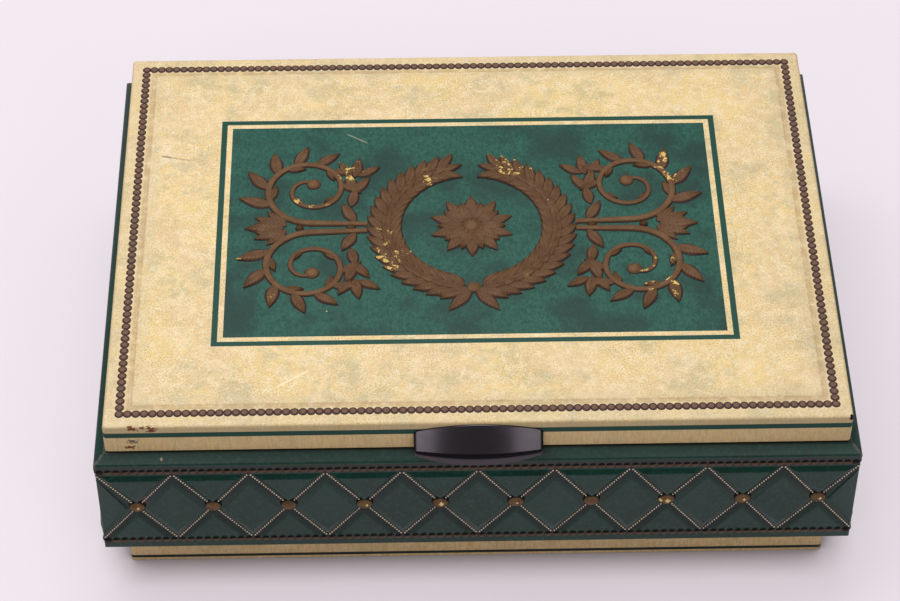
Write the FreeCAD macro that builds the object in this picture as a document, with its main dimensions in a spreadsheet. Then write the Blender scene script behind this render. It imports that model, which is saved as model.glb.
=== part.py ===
"""A hinged tinplate box: a cream lid with a moulded thumb lift, a green quilted band and a cream foot.

Millimetres. +Z is up, +X runs along the front, and the front faces -Y. The origin is the middle of
the foot's flat underside.
"""

import FreeCAD
import Part
import Sketcher

import math
import os
from types import SimpleNamespace

# Driving dimensions, each written once
DIMENSIONS = {
    # tinplate
    "tin_sheet": 0.4,
    "fit_gap": 0.05,
    # lid
    "lid_width": 240,
    "lid_depth": 176,
    "lid_height": 11.5,
    "lid_corner": 1.6,
    "lid_edge": 1.2,
    "lid_seat_gap": 0.3,
    "lid_hem": 3,
    "panel_inset": 8.6,
    "panel_slope": 1.6,
    "panel_rise": 0.6,
    "panel_corner": 2,
    "wreath_radius": 36,
    "wreath_width": 13,
    "rosette_radius": 11,
    "relief_rise": 1.2,
    # foot and case
    "foot_inset": 3.6,
    "foot_height": 16,
    "foot_corner": 3,
    "foot_edge": 1.2,
    "tray_depth": 24,
    "neck_height": 8.5,
    "neck_hem": 2.6,
    "band_overhang": 3.8,
    "band_height": 41.6,
    "band_corner": 2,
    "shoulder_run": 3,
    "shoulder_rise": 2.6,
    "shoulder_corner": 1,
    "shoulder_tongue": 4,
    "stud_radius": 2.5,
    "stud_rise": 1,
    "stud_edge": 0.8,
    "studs_across": 10,
    "studs_deep": 7,
    # hinges
    "hinge_spread": 140,
    "hinge_rise": 1.9,
    "pin_radius": 0.5,
    "pin_clearance": 0.05,
    "pin_head_radius": 0.9,
    "pin_head_length": 0.5,
    "leaf_width": 36,
    "leaf_height": 6,
    "knuckle_length": 12,
    "knuckle_gap": 0.2,
    "swing_gap": 0.3,
    "rear_trim": 0.2,
    "rear_trim_reach": 0.6,
    "rivet_radius": 0.8,
    "rivet_head_radius": 1.4,
    "rivet_head_rise": 0.4,
    "rivet_spread": 22,
    "rivet_rise": 3.4,
    # thumb lift and its screws
    "lift_width": 41.6,
    "lift_foot": 0.1,
    "lift_lip": 0.8,
    "lift_nose": 2.9,
    "lift_reach": 7.4,
    "lift_end_reach": 5,
    "lift_top_drop": 0.6,
    "lift_end_drop": 3.8,
    "lift_bevel": 0.35,
    "screw_radius": 1.1,
    "screw_bite": 2.2,
    "screw_spread": 16,
    "screw_head_radius": 2.1,
    "screw_head_rise": 1.1,
    "washer_radius": 2.6,
    "washer_thickness": 0.4,
}
NEAR = 1e-4
LEAST_CHANGE = 1e-6
DRILL_LEAD = 1


class Size:
    """A length that follows the sheet: the words of its expression, and what they come to now."""

    def __init__(self, words, number):
        self.words = words
        self.number = number

    def __add__(self, other):
        other = as_size(other)
        return Size(f"({self.words} + {other.words})", self.number + other.number)

    def __sub__(self, other):
        other = as_size(other)
        return Size(f"({self.words} - {other.words})", self.number - other.number)

    def __mul__(self, factor):
        return Size(f"({self.words} * {factor})", self.number * factor)

    def __truediv__(self, divisor):
        divisor = as_size(divisor)
        return Size(f"({self.words} / {divisor.words})", self.number / divisor.number)

    def __neg__(self):
        return Size(f"(-{self.words})", -self.number)


def as_size(value):
    return value if isinstance(value, Size) else Size(str(value), value)


doc = FreeCAD.newDocument("tin_box")
sheet = doc.addObject("Spreadsheet::Sheet", "Sizes")
for row, (alias, number) in enumerate(DIMENSIONS.items(), start=1):
    sheet.set(f"A{row}", alias)
    sheet.set(f"B{row}", str(number))
    sheet.setAlias(f"B{row}", alias)
doc.recompute()
size = SimpleNamespace(**{alias: Size(f"Sizes.{alias}", number) for alias, number in DIMENSIONS.items()})

# Levels
NIL = Size("0", 0)
BAND_TOP = size.foot_height + size.band_height
LEDGE = BAND_TOP + size.shoulder_rise
SKIRT_FOOT = LEDGE + size.lid_seat_gap
LID_TOP = SKIRT_FOOT + size.lid_height
PANEL_TOP = LID_TOP + size.panel_rise
NECK_TOP = LEDGE + size.neck_height

# Outlines of the case
FOOT_WIDTH = size.lid_width - size.foot_inset * 2
FOOT_DEPTH = size.lid_depth - size.foot_inset * 2
LINER_WIDTH = FOOT_WIDTH - (size.tin_sheet + size.fit_gap) * 2
LINER_DEPTH = FOOT_DEPTH - (size.tin_sheet + size.fit_gap) * 2
LINER_CORNER = size.foot_corner - size.tin_sheet - size.fit_gap
BAND_WIDTH = size.lid_width + size.band_overhang * 2
BAND_DEPTH = size.lid_depth + size.band_overhang * 2

# Hinge line, and the faces that the leaves lie against
KNUCKLE_BORE = size.pin_radius + size.pin_clearance
KNUCKLE_RADIUS = KNUCKLE_BORE + size.tin_sheet
KNUCKLE_CLEAR = KNUCKLE_RADIUS + size.swing_gap
LID_LEAF_BACK = size.lid_depth / 2 - size.tin_sheet - size.fit_gap
CASE_LEAF_FRONT = LINER_DEPTH / 2 + size.fit_gap
AXIS_Y = LID_LEAF_BACK - KNUCKLE_RADIUS
AXIS_Z = LEDGE + size.hinge_rise
LID_LEAF_FOOT = AXIS_Z + KNUCKLE_CLEAR
CASE_LEAF_FOOT = AXIS_Z - KNUCKLE_RADIUS
LID_RIVET_LEVEL = LID_LEAF_FOOT + size.rivet_rise
CASE_RIVET_LEVEL = CASE_LEAF_FOOT + size.rivet_rise
RIVET_HOLE = size.rivet_radius + size.fit_gap
HINGE_MIDDLES = {"left": -size.hinge_spread / 2, "right": size.hinge_spread / 2}

# Thumb lift: its screws stand midway between the skirt's hem and the lid's rounded edge
LID_FRONT = -size.lid_depth / 2
SCREW_LEVEL = SKIRT_FOOT + (size.lid_hem + size.lid_height - size.lid_edge) / 2
SCREW_HOLE = size.screw_radius + size.fit_gap
SCREW_PLACES = [(-size.screw_spread / 2, SCREW_LEVEL), (size.screw_spread / 2, SCREW_LEVEL)]
WASHER_FACE = LID_FRONT + size.tin_sheet + size.fit_gap
SCREW_HEAD_FACE = WASHER_FACE + size.washer_thickness + size.fit_gap

# Ways to name points in a sketch
START, END, CENTRE = 1, 2, 3
ORIGIN_POINT = (-1, 1)
ACROSS_AXIS, UP_AXIS = -1, -2


def new_body(label):
    body = doc.addObject("PartDesign::Body", label)
    body.Label = label
    body.Placement = FreeCAD.Placement()
    return body


def origin_feature(body, role):
    return next(feature for feature in body.Origin.OriginFeatures if feature.Role == role)


def new_sketch(body, name, role, lift):
    """A sketch on one of the body's origin planes, moved by lift along that plane's normal."""
    sketch = body.newObject("Sketcher::SketchObject", name)
    sketch.AttachmentSupport = [(origin_feature(body, role), "")]
    sketch.MapMode = "FlatFace"
    sketch.setExpression("AttachmentOffset.Base.z", lift.words)
    return sketch


def level_sketch(body, name, level):
    """A sketch seen from above at a height: across is X, up is Y."""
    return new_sketch(body, name, "XY_Plane", level)


def front_sketch(body, name, y):
    """A sketch seen from the front: across is X, up is Z. Its normal points to -Y."""
    return new_sketch(body, name, "XZ_Plane", -y)


def side_sketch(body, name, x):
    """A sketch seen from the right: across is Y, up is Z."""
    return new_sketch(body, name, "YZ_Plane", x)


def dimension(sketch, size_wanted, kind, *places):
    """A constraint of the sketch that follows a size."""
    index = sketch.addConstraint(Sketcher.Constraint(kind, *places, size_wanted.number))
    sketch.setExpression(f"Constraints[{index}]", size_wanted.words)


def place_point(sketch, geometry, point, across, up):
    """Ties a point to the origin, or to an axis that it lies on."""
    for kind, distance, axis in (("DistanceX", across, UP_AXIS), ("DistanceY", up, ACROSS_AXIS)):
        if abs(distance.number) < NEAR:
            sketch.addConstraint(Sketcher.Constraint("PointOnObject", geometry, point, axis))
        else:
            dimension(sketch, distance, kind, *ORIGIN_POINT, geometry, point)


def draw_polygon(sketch, corners):
    points = [FreeCAD.Vector(across.number, up.number, 0) for across, up in corners]
    first = sketch.GeometryCount
    count = len(points)
    for i in range(count):
        sketch.addGeometry(Part.LineSegment(points[i], points[(i + 1) % count]), False)
    for i in range(count):
        following = first + (i + 1) % count
        sketch.addConstraint(Sketcher.Constraint("Coincident", first + i, END, following, START))
    for i, (across, up) in enumerate(corners):
        place_point(sketch, first + i, START, across, up)


def draw_box(sketch, left, right, bottom, top):
    draw_polygon(sketch, [(left, bottom), (right, bottom), (right, top), (left, top)])


def draw_circle(sketch, across, up, radius):
    middle = FreeCAD.Vector(across.number, up.number, 0)
    index = sketch.addGeometry(Part.Circle(middle, FreeCAD.Vector(0, 0, 1), radius.number), False)
    place_point(sketch, index, CENTRE, across, up)
    dimension(sketch, radius, "Radius", index)


def draw_rounded_box(sketch, width, depth, radius):
    """A rectangle about the origin with rounded corners, drawn as side, corner, side, corner."""
    x, y, r = width.number / 2, depth.number / 2, radius.number
    side_ends = [
        ((r - x, -y), (x - r, -y)),
        ((x, r - y), (x, y - r)),
        ((x - r, y), (r - x, y)),
        ((-x, y - r), (-x, r - y)),
    ]
    corner_middles = [(x - r, r - y), (x - r, y - r), (r - x, y - r), (r - x, r - y)]
    quarter_turn = math.pi / 2
    first = sketch.GeometryCount
    for i in range(4):
        begin, end = side_ends[i]
        sketch.addGeometry(Part.LineSegment(FreeCAD.Vector(*begin, 0), FreeCAD.Vector(*end, 0)), False)
        circle = Part.Circle(FreeCAD.Vector(*corner_middles[i], 0), FreeCAD.Vector(0, 0, 1), r)
        turned = (i - 1) * quarter_turn
        sketch.addGeometry(Part.ArcOfCircle(circle, turned, turned + quarter_turn), False)
    for i in range(8):
        following = first + (i + 1) % 8
        sketch.addConstraint(Sketcher.Constraint("Tangent", first + i, END, following, START))
    front, right, rear, left = first, first + 2, first + 4, first + 6
    for side in (front, rear):
        sketch.addConstraint(Sketcher.Constraint("Horizontal", side))
    for side in (left, right):
        sketch.addConstraint(Sketcher.Constraint("Vertical", side))
    for corner in (first + 3, first + 5, first + 7):
        sketch.addConstraint(Sketcher.Constraint("Equal", first + 1, corner))
    sketch.addConstraint(Sketcher.Constraint("Symmetric", front, START, rear, START, *ORIGIN_POINT))
    dimension(sketch, radius, "Radius", first + 1)
    dimension(sketch, width, "DistanceX", left, START, right, START)
    dimension(sketch, depth, "DistanceY", front, START, rear, START)


def extrude(body, sketch, kind, length, reverse=False):
    """Adds along the sketch's normal or cuts against it, or the other way when reversed."""
    doc.recompute()
    before = body.Shape.Volume if body.Shape.Solids else 0
    feature = body.newObject(f"PartDesign::{kind}", f"{sketch.Name}_{kind}")
    feature.Profile = sketch
    feature.setExpression("Length", length.words)
    feature.Reversed = reverse
    doc.recompute()
    if abs(feature.Shape.Volume - before) < LEAST_CHANGE:
        raise RuntimeError(f"{body.Label}: {feature.Name} changes nothing")
    return feature


def loft(body, kind, sketches, ruled=True):
    doc.recompute()
    feature = body.newObject(f"PartDesign::{kind}", f"{sketches[0].Name}_{kind}")
    feature.Profile = sketches[0]
    feature.Sections = sketches[1:]
    feature.Ruled = ruled
    doc.recompute()
    return feature


def round_edges(body, feature, radius, test):
    """Rounds the edges of a feature whose ends and middle all pass a test."""
    names = []
    for index, edge in enumerate(feature.Shape.Edges, start=1):
        middle = edge.valueAt((edge.FirstParameter + edge.LastParameter) / 2)
        if all(test(point) for point in [middle] + [vertex.Point for vertex in edge.Vertexes]):
            names.append(f"Edge{index}")
    rounding = body.newObject("PartDesign::Fillet", f"{feature.Name}_round")
    rounding.Base = (feature, names)
    rounding.setExpression("Radius", radius.words)
    doc.recompute()
    return rounding


def outline(body, name, level, width, depth, corner):
    sketch = level_sketch(body, name, level)
    draw_rounded_box(sketch, width, depth, corner)
    return sketch


def rounded_block(body, name, foot, height, width, depth, corner):
    return extrude(body, outline(body, name, foot, width, depth, corner), "Pad", height)


def rounded_hollow(body, name, foot, height, width, depth, corner):
    """Cuts upwards from a level."""
    return extrude(body, outline(body, name, foot, width, depth, corner), "Pocket", height, reverse=True)


def drill_towards_rear(body, name, start, places, radius, length):
    """Round holes cut from a plane towards +Y."""
    holes = front_sketch(body, name, start)
    for across, up in places:
        draw_circle(holes, across, up, radius)
    extrude(body, holes, "Pocket", length)


def rivet_places(middle, level):
    """Where one leaf's two rivets stand."""
    return [(middle - size.rivet_spread / 2, level), (middle + size.rivet_spread / 2, level)]


def all_rivet_places(level):
    return [place for middle in HINGE_MIDDLES.values() for place in rivet_places(middle, level)]


# Base tray: a drawn pan, whose wall shows below the band as the foot
def make_base_tray():
    body = new_body("base_tray")
    block = rounded_block(body, "TrayOutside", NIL, size.tray_depth, FOOT_WIDTH, FOOT_DEPTH, size.foot_corner)
    round_edges(body, block, size.foot_edge, lambda point: abs(point.z) < NEAR)
    sheet_twice = size.tin_sheet * 2
    hollow = rounded_hollow(
        body, "TrayInside", size.tin_sheet, size.tray_depth,
        FOOT_WIDTH - sheet_twice, FOOT_DEPTH - sheet_twice, size.foot_corner - size.tin_sheet,
    )
    floor = size.tin_sheet.number
    wall = (FOOT_DEPTH / 2 - size.foot_edge).number
    side_wall = (FOOT_WIDTH / 2 - size.foot_edge).number
    inner_edge = size.foot_edge - size.tin_sheet

    def on_floor_rim(point):
        return abs(point.z - floor) < NEAR and (abs(point.y) > wall or abs(point.x) > side_wall)

    round_edges(body, hollow, inner_edge, on_floor_rim)


# Liner: the plain inner wall that stands in the tray and rises past the shoulder as the neck
def make_liner():
    body = new_body("liner")
    foot = size.foot_edge + size.fit_gap
    height = NECK_TOP - foot
    sheet_twice = size.tin_sheet * 2
    rounded_block(body, "LinerOutside", foot, height, LINER_WIDTH, LINER_DEPTH, LINER_CORNER)
    rounded_hollow(
        body, "LinerInside", foot, height - size.neck_hem,
        LINER_WIDTH - sheet_twice, LINER_DEPTH - sheet_twice, LINER_CORNER - size.tin_sheet,
    )
    rounded_hollow(
        body, "NeckHem", NECK_TOP - size.neck_hem, size.neck_hem,
        LINER_WIDTH - sheet_twice * 2, LINER_DEPTH - sheet_twice * 2, LINER_CORNER - sheet_twice,
    )
    start = LINER_DEPTH / 2 - size.tin_sheet - DRILL_LEAD
    length = size.tin_sheet + DRILL_LEAD * 2
    drill_towards_rear(body, "LinerRivets", start, all_rivet_places(CASE_RIVET_LEVEL), RIVET_HOLE, length)


# Band sleeve: the quilted outer wall, its lower edge turned in to the foot, with pressed studs
def make_band_sleeve():
    body = new_body("band_sleeve")
    sheet_twice = size.tin_sheet * 2
    rounded_block(
        body, "BandOutside", size.foot_height, size.band_height, BAND_WIDTH, BAND_DEPTH, size.band_corner
    )
    rounded_hollow(
        body, "BandInside", size.foot_height + size.tin_sheet, size.band_height,
        BAND_WIDTH - sheet_twice, BAND_DEPTH - sheet_twice, size.band_corner - size.tin_sheet,
    )
    gap_twice = size.fit_gap * 2
    rounded_hollow(
        body, "FootOpening", size.foot_height, size.tin_sheet,
        FOOT_WIDTH + gap_twice, FOOT_DEPTH + gap_twice, size.foot_corner + size.fit_gap,
    )
    front_row = front_sketch(body, "FrontStuds", -BAND_DEPTH / 2)
    side_row = side_sketch(body, "SideStuds", BAND_WIDTH / 2)
    add_stud_row(body, front_row, BAND_WIDTH, size.studs_across, "XZ_Plane")
    add_stud_row(body, side_row, BAND_DEPTH, size.studs_deep, "YZ_Plane")
    side_tops = (BAND_WIDTH / 2 + size.stud_rise).number
    front_tops = (BAND_DEPTH / 2 + size.stud_rise).number

    def on_stud_top(point):
        return abs(abs(point.x) - side_tops) < NEAR or abs(abs(point.y) - front_tops) < NEAR

    round_edges(body, body.Tip, size.stud_edge, on_stud_top)


def add_stud_row(body, sketch, length, count, mirror_plane):
    """Studs in the middle of each cell of one wall, and the same on the wall opposite."""
    pitch = length / count
    for i in range(int(count.number)):
        draw_circle(
            sketch, pitch * (i + 0.5) - length / 2, size.foot_height + size.band_height / 2, size.stud_radius
        )
    studs = extrude(body, sketch, "Pad", size.stud_rise)
    opposite = body.newObject("PartDesign::Mirrored", f"{sketch.Name}_opposite")
    opposite.Originals = [studs]
    opposite.MirrorPlane = (origin_feature(body, mirror_plane), [""])
    body.Tip = opposite
    doc.recompute()


# Shoulder frame: the mitred slope above the band, a flat ledge in to the neck, a tongue in the sleeve
def make_shoulder_frame():
    body = new_body("shoulder_frame")
    tongue_inset = (size.tin_sheet + size.fit_gap) * 2
    tongue_inner = tongue_inset + size.tin_sheet * 2
    tongue_corner = size.band_corner - size.tin_sheet - size.fit_gap
    tongue_foot = BAND_TOP - size.shoulder_tongue
    rounded_block(
        body, "Tongue", tongue_foot, size.shoulder_tongue,
        BAND_WIDTH - tongue_inset, BAND_DEPTH - tongue_inset, tongue_corner,
    )
    run_twice = size.shoulder_run * 2
    ledge_width = BAND_WIDTH - run_twice
    ledge_depth = BAND_DEPTH - run_twice
    slope = [
        outline(body, "SlopeFoot", BAND_TOP, BAND_WIDTH, BAND_DEPTH, size.band_corner),
        outline(body, "SlopeTop", LEDGE, ledge_width, ledge_depth, size.shoulder_corner),
    ]
    loft(body, "AdditiveLoft", slope)
    rounded_hollow(
        body, "TongueInside", tongue_foot, size.shoulder_tongue,
        BAND_WIDTH - tongue_inner, BAND_DEPTH - tongue_inner, tongue_corner - size.tin_sheet,
    )
    ledge_inner = size.tin_sheet * 4
    under_slope = [
        outline(
            body, "UnderSlopeFoot", BAND_TOP,
            BAND_WIDTH - tongue_inner, BAND_DEPTH - tongue_inner, tongue_corner - size.tin_sheet,
        ),
        outline(
            body, "UnderSlopeTop", LEDGE - size.tin_sheet,
            ledge_width - ledge_inner, ledge_depth - ledge_inner, size.shoulder_corner - size.tin_sheet,
        ),
    ]
    loft(body, "SubtractiveLoft", under_slope)
    gap_twice = size.fit_gap * 2
    rounded_hollow(
        body, "NeckOpening", BAND_TOP, size.shoulder_rise,
        LINER_WIDTH + gap_twice, LINER_DEPTH + gap_twice, LINER_CORNER + size.fit_gap,
    )


# Lid shell: a flanged lid with a raised panel, a hemmed skirt and a low wreath; its rear clears the hinges
def make_lid_shell():
    body = new_body("lid_shell")
    sheet_twice = size.tin_sheet * 2
    block = rounded_block(
        body, "LidOutside", SKIRT_FOOT, size.lid_height, size.lid_width, size.lid_depth, size.lid_corner
    )
    round_edges(body, block, size.lid_edge, lambda point: abs(point.z - LID_TOP.number) < NEAR)
    rounded_hollow(
        body, "HemInside", SKIRT_FOOT, size.lid_hem,
        size.lid_width - sheet_twice * 2, size.lid_depth - sheet_twice * 2, size.lid_corner - sheet_twice,
    )
    hollow = rounded_hollow(
        body, "LidInside", SKIRT_FOOT + size.lid_hem, size.lid_height - size.lid_hem - size.tin_sheet,
        size.lid_width - sheet_twice, size.lid_depth - sheet_twice, size.lid_corner - size.tin_sheet,
    )
    ceiling = (LID_TOP - size.tin_sheet).number
    round_edges(
        body, hollow, size.lid_edge - size.tin_sheet, lambda point: abs(point.z - ceiling) < NEAR
    )
    add_raised_panel(body)
    add_wreath(body)
    trim_rear(body)
    start = size.lid_depth / 2 - size.tin_sheet - DRILL_LEAD
    length = size.tin_sheet + DRILL_LEAD * 2
    drill_towards_rear(body, "LidRivets", start, all_rivet_places(LID_RIVET_LEVEL), RIVET_HOLE, length)
    drill_towards_rear(body, "LidScrews", LID_FRONT - DRILL_LEAD, SCREW_PLACES, SCREW_HOLE, length)


def add_raised_panel(body):
    """A low step in the lid's top, pressed from below so that the sheet keeps its thickness."""
    for kind, drop in (("AdditiveLoft", NIL), ("SubtractiveLoft", size.tin_sheet)):
        steps = []
        for name, inset, level in (
            ("PanelFoot", size.panel_inset, LID_TOP - drop),
            ("PanelTop", size.panel_inset + size.panel_slope, PANEL_TOP - drop),
        ):
            width = size.lid_width - inset * 2
            depth = size.lid_depth - inset * 2
            steps.append(outline(body, f"{name}_{kind}", level, width, depth, size.panel_corner))
        loft(body, kind, steps)


def add_wreath(body):
    """A low ring round a middle boss, which carry the relief."""
    relief = level_sketch(body, "Relief", PANEL_TOP)
    draw_circle(relief, NIL, NIL, size.wreath_radius)
    draw_circle(relief, NIL, NIL, size.wreath_radius - size.wreath_width)
    extrude(body, relief, "Pad", size.relief_rise)
    rosette = level_sketch(body, "Rosette", PANEL_TOP)
    draw_circle(rosette, NIL, NIL, size.rosette_radius)
    extrude(body, rosette, "Pad", size.relief_rise)


def trim_rear(body):
    """Takes away the rear hem, the foot of the rear skirt, and a notch in front of each hinge."""
    half_width = size.lid_width / 2
    half_depth = size.lid_depth / 2
    hem = level_sketch(body, "RearHem", SKIRT_FOOT)
    hem_side = half_width - size.tin_sheet * 2
    draw_box(hem, -hem_side, hem_side, half_depth - size.lid_corner, half_depth - size.tin_sheet)
    extrude(body, hem, "Pocket", size.lid_hem, reverse=True)
    foot = level_sketch(body, "RearFoot", SKIRT_FOOT)
    outside = half_width + DRILL_LEAD
    draw_box(foot, -outside, outside, AXIS_Y - size.rear_trim_reach, half_depth + DRILL_LEAD)
    extrude(body, foot, "Pocket", AXIS_Z - size.rear_trim - SKIRT_FOOT, reverse=True)
    notches = level_sketch(body, "HingeNotches", SKIRT_FOOT)
    notch_half = size.leaf_width / 2 + size.pin_head_length + size.swing_gap * 2
    for middle in HINGE_MIDDLES.values():
        draw_box(notches, middle - notch_half, middle + notch_half, LID_LEAF_BACK, half_depth + DRILL_LEAD)
    extrude(body, notches, "Pocket", LID_LEAF_FOOT - SKIRT_FOOT, reverse=True)


# Hinges: on each side a case leaf, a lid leaf between its knuckles, and a headed pin
def add_knuckle(body, middle, length):
    tube = side_sketch(body, "Knuckle", middle - length / 2)
    draw_circle(tube, AXIS_Y, AXIS_Z, KNUCKLE_RADIUS)
    extrude(body, tube, "Pad", length)


def bore_knuckle(body, middle, length):
    bore = side_sketch(body, "Bore", middle - length / 2)
    draw_circle(bore, AXIS_Y, AXIS_Z, KNUCKLE_BORE)
    extrude(body, bore, "Pocket", length, reverse=True)


def make_case_leaf(side, middle):
    body = new_body(f"hinge_leaf_case_{side}")
    left = middle - size.leaf_width / 2
    right = middle + size.leaf_width / 2
    plate = front_sketch(body, "Plate", CASE_LEAF_FRONT)
    draw_box(plate, left, right, CASE_LEAF_FOOT, CASE_LEAF_FOOT + size.leaf_height)
    extrude(body, plate, "Pad", size.tin_sheet, reverse=True)
    shelf = level_sketch(body, "Shelf", CASE_LEAF_FOOT)
    draw_box(shelf, left, right, CASE_LEAF_FRONT, AXIS_Y)
    extrude(body, shelf, "Pad", size.tin_sheet)
    add_knuckle(body, middle, size.leaf_width)
    notch = level_sketch(body, "Notch", CASE_LEAF_FOOT)
    notch_half = size.knuckle_length / 2 + size.knuckle_gap
    draw_box(notch, middle - notch_half, middle + notch_half, AXIS_Y - KNUCKLE_CLEAR, AXIS_Y + KNUCKLE_CLEAR)
    extrude(body, notch, "Pocket", KNUCKLE_CLEAR * 2, reverse=True)
    bore_knuckle(body, middle, size.leaf_width)
    length = size.tin_sheet + DRILL_LEAD
    drill_towards_rear(
        body, "Rivets", CASE_LEAF_FRONT, rivet_places(middle, CASE_RIVET_LEVEL), RIVET_HOLE, length
    )


def make_lid_leaf(side, middle):
    body = new_body(f"hinge_leaf_lid_{side}")
    wide = size.leaf_width / 2
    narrow = size.knuckle_length / 2
    top = LID_LEAF_FOOT + size.leaf_height
    plate = front_sketch(body, "Plate", LID_LEAF_BACK)
    corners = [
        (middle - narrow, AXIS_Z),
        (middle + narrow, AXIS_Z),
        (middle + narrow, LID_LEAF_FOOT),
        (middle + wide, LID_LEAF_FOOT),
        (middle + wide, top),
        (middle - wide, top),
        (middle - wide, LID_LEAF_FOOT),
        (middle - narrow, LID_LEAF_FOOT),
    ]
    draw_polygon(plate, corners)
    extrude(body, plate, "Pad", size.tin_sheet)
    add_knuckle(body, middle, size.knuckle_length)
    bore_knuckle(body, middle, size.knuckle_length)
    start = LID_LEAF_BACK - size.tin_sheet - DRILL_LEAD
    length = size.tin_sheet + DRILL_LEAD * 2
    drill_towards_rear(body, "Rivets", start, rivet_places(middle, LID_RIVET_LEVEL), RIVET_HOLE, length)


def make_hinge_pin(side, middle):
    body = new_body(f"hinge_pin_{side}")
    reach = size.leaf_width / 2 + size.fit_gap
    lengths = [
        ("Shank", middle - reach, reach * 2, size.pin_radius),
        ("LeftHead", middle - reach - size.pin_head_length, size.pin_head_length, size.pin_head_radius),
        ("RightHead", middle + reach, size.pin_head_length, size.pin_head_radius),
    ]
    for name, start, length, radius in lengths:
        section = side_sketch(body, name, start)
        draw_circle(section, AXIS_Y, AXIS_Z, radius)
        extrude(body, section, "Pad", length)


# Fasteners: each group is one node of separate solids, built as round lengths along Y
def add_round_lengths(body, name, places, radius, start, end):
    """A round length at each place, between two values of Y."""
    section = front_sketch(body, name, end)
    for across, up in places:
        draw_circle(section, across, up, radius)
    extrude(body, section, "Pad", end - start)


def make_rivets(label, level, front_face, rear_face):
    """Rivets through two sheets, with a head on each side."""
    body = new_body(label)
    places = all_rivet_places(level)
    front = front_face - size.fit_gap
    rear = rear_face + size.fit_gap
    add_round_lengths(body, "Shank", places, size.rivet_radius, front, rear)
    add_round_lengths(body, "FrontHead", places, size.rivet_head_radius, front - size.rivet_head_rise, front)
    add_round_lengths(body, "RearHead", places, size.rivet_head_radius, rear, rear + size.rivet_head_rise)


def make_washers():
    body = new_body("thumb_lift_washers")
    back = WASHER_FACE + size.washer_thickness
    add_round_lengths(body, "Washer", SCREW_PLACES, size.washer_radius, WASHER_FACE, back)
    drill_towards_rear(body, "Hole", WASHER_FACE, SCREW_PLACES, SCREW_HOLE, size.washer_thickness)


def make_screws():
    body = new_body("thumb_lift_screws")
    head_top = SCREW_HEAD_FACE + size.screw_head_rise
    tip = LID_FRONT - size.screw_bite
    add_round_lengths(body, "Shank", SCREW_PLACES, size.screw_radius, tip, SCREW_HEAD_FACE)
    add_round_lengths(body, "Head", SCREW_PLACES, size.screw_head_radius, SCREW_HEAD_FACE, head_top)


# Thumb lift: a black moulded wedge on the front skirt, bowed so that it is highest and deepest in the middle
LIFT_SECTIONS = (-1, -0.5, 0, 0.5, 1)


def lift_section(body, index, share):
    """A section of the wedge, at a share of the way from its middle to an end."""
    bow = 1 - share * share
    reach = size.lift_end_reach + (size.lift_reach - size.lift_end_reach) * bow
    crest = LID_TOP - size.lift_end_drop + (size.lift_end_drop - size.lift_top_drop) * bow
    back = LID_FRONT - size.fit_gap
    front = LID_FRONT - reach
    foot = SKIRT_FOOT + size.lift_foot
    section = side_sketch(body, f"LiftSection{index}", size.lift_width / 2 * share)
    corners = [
        (back, foot),
        (front + size.lift_bevel * 2, foot - size.lift_lip),
        (front + size.lift_bevel, foot - size.lift_lip + size.lift_bevel),
        (front, SKIRT_FOOT + size.lift_nose),
        (back - size.lift_bevel, crest),
        (back, crest - size.lift_bevel),
    ]
    draw_polygon(section, corners)
    return section


def make_thumb_lift():
    body = new_body("thumb_lift")
    sections = [lift_section(body, index, share) for index, share in enumerate(LIFT_SECTIONS)]
    loft(body, "AdditiveLoft", sections, ruled=False)
    pilots = front_sketch(body, "Pilots", LID_FRONT)
    for across, up in SCREW_PLACES:
        draw_circle(pilots, across, up, SCREW_HOLE)
    extrude(body, pilots, "Pocket", size.screw_bite + size.fit_gap, reverse=True)


make_base_tray()
make_liner()
make_band_sleeve()
make_shoulder_frame()
for side, middle in HINGE_MIDDLES.items():
    make_case_leaf(side, middle)
    make_hinge_pin(side, middle)
make_rivets(
    "case_hinge_rivets", CASE_RIVET_LEVEL, LINER_DEPTH / 2 - size.tin_sheet, CASE_LEAF_FRONT + size.tin_sheet
)
make_lid_shell()
for side, middle in HINGE_MIDDLES.items():
    make_lid_leaf(side, middle)
make_rivets("lid_hinge_rivets", LID_RIVET_LEVEL, LID_LEAF_BACK - size.tin_sheet, size.lid_depth / 2)
make_thumb_lift()
make_washers()
make_screws()

# Every object is sound before anything is written
doc.recompute()
for thing in doc.Objects:
    if "Invalid" in thing.State or "Error" in thing.State:
        raise RuntimeError(f"{thing.Label} failed: {thing.State}")
bodies = [thing for thing in doc.Objects if thing.TypeId == "PartDesign::Body"]
for body in bodies:
    if body.Shape.isNull() or not body.Shape.isValid() or not body.Shape.Solids:
        raise RuntimeError(f"{body.Label} has no sound shape")
os.makedirs("parts", exist_ok=True)
for body in bodies:
    body.Shape.exportStep(f"parts/{body.Label}.step")
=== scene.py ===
"""A hinged tin box: a parchment lid with a thumb lift, over a green quilted band on a cream foot.

Each section makes one part of the box, in the order in which it is put together, and the last one
sets the stage. The scene is in metres, with +Z up and the front at -Y. Of the box's lengths, plain
numbers are millimetres, and those marked MM or taken from the frame are metres.
"""

import math

import bmesh
import bpy
from mathutils import Matrix, Vector


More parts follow.
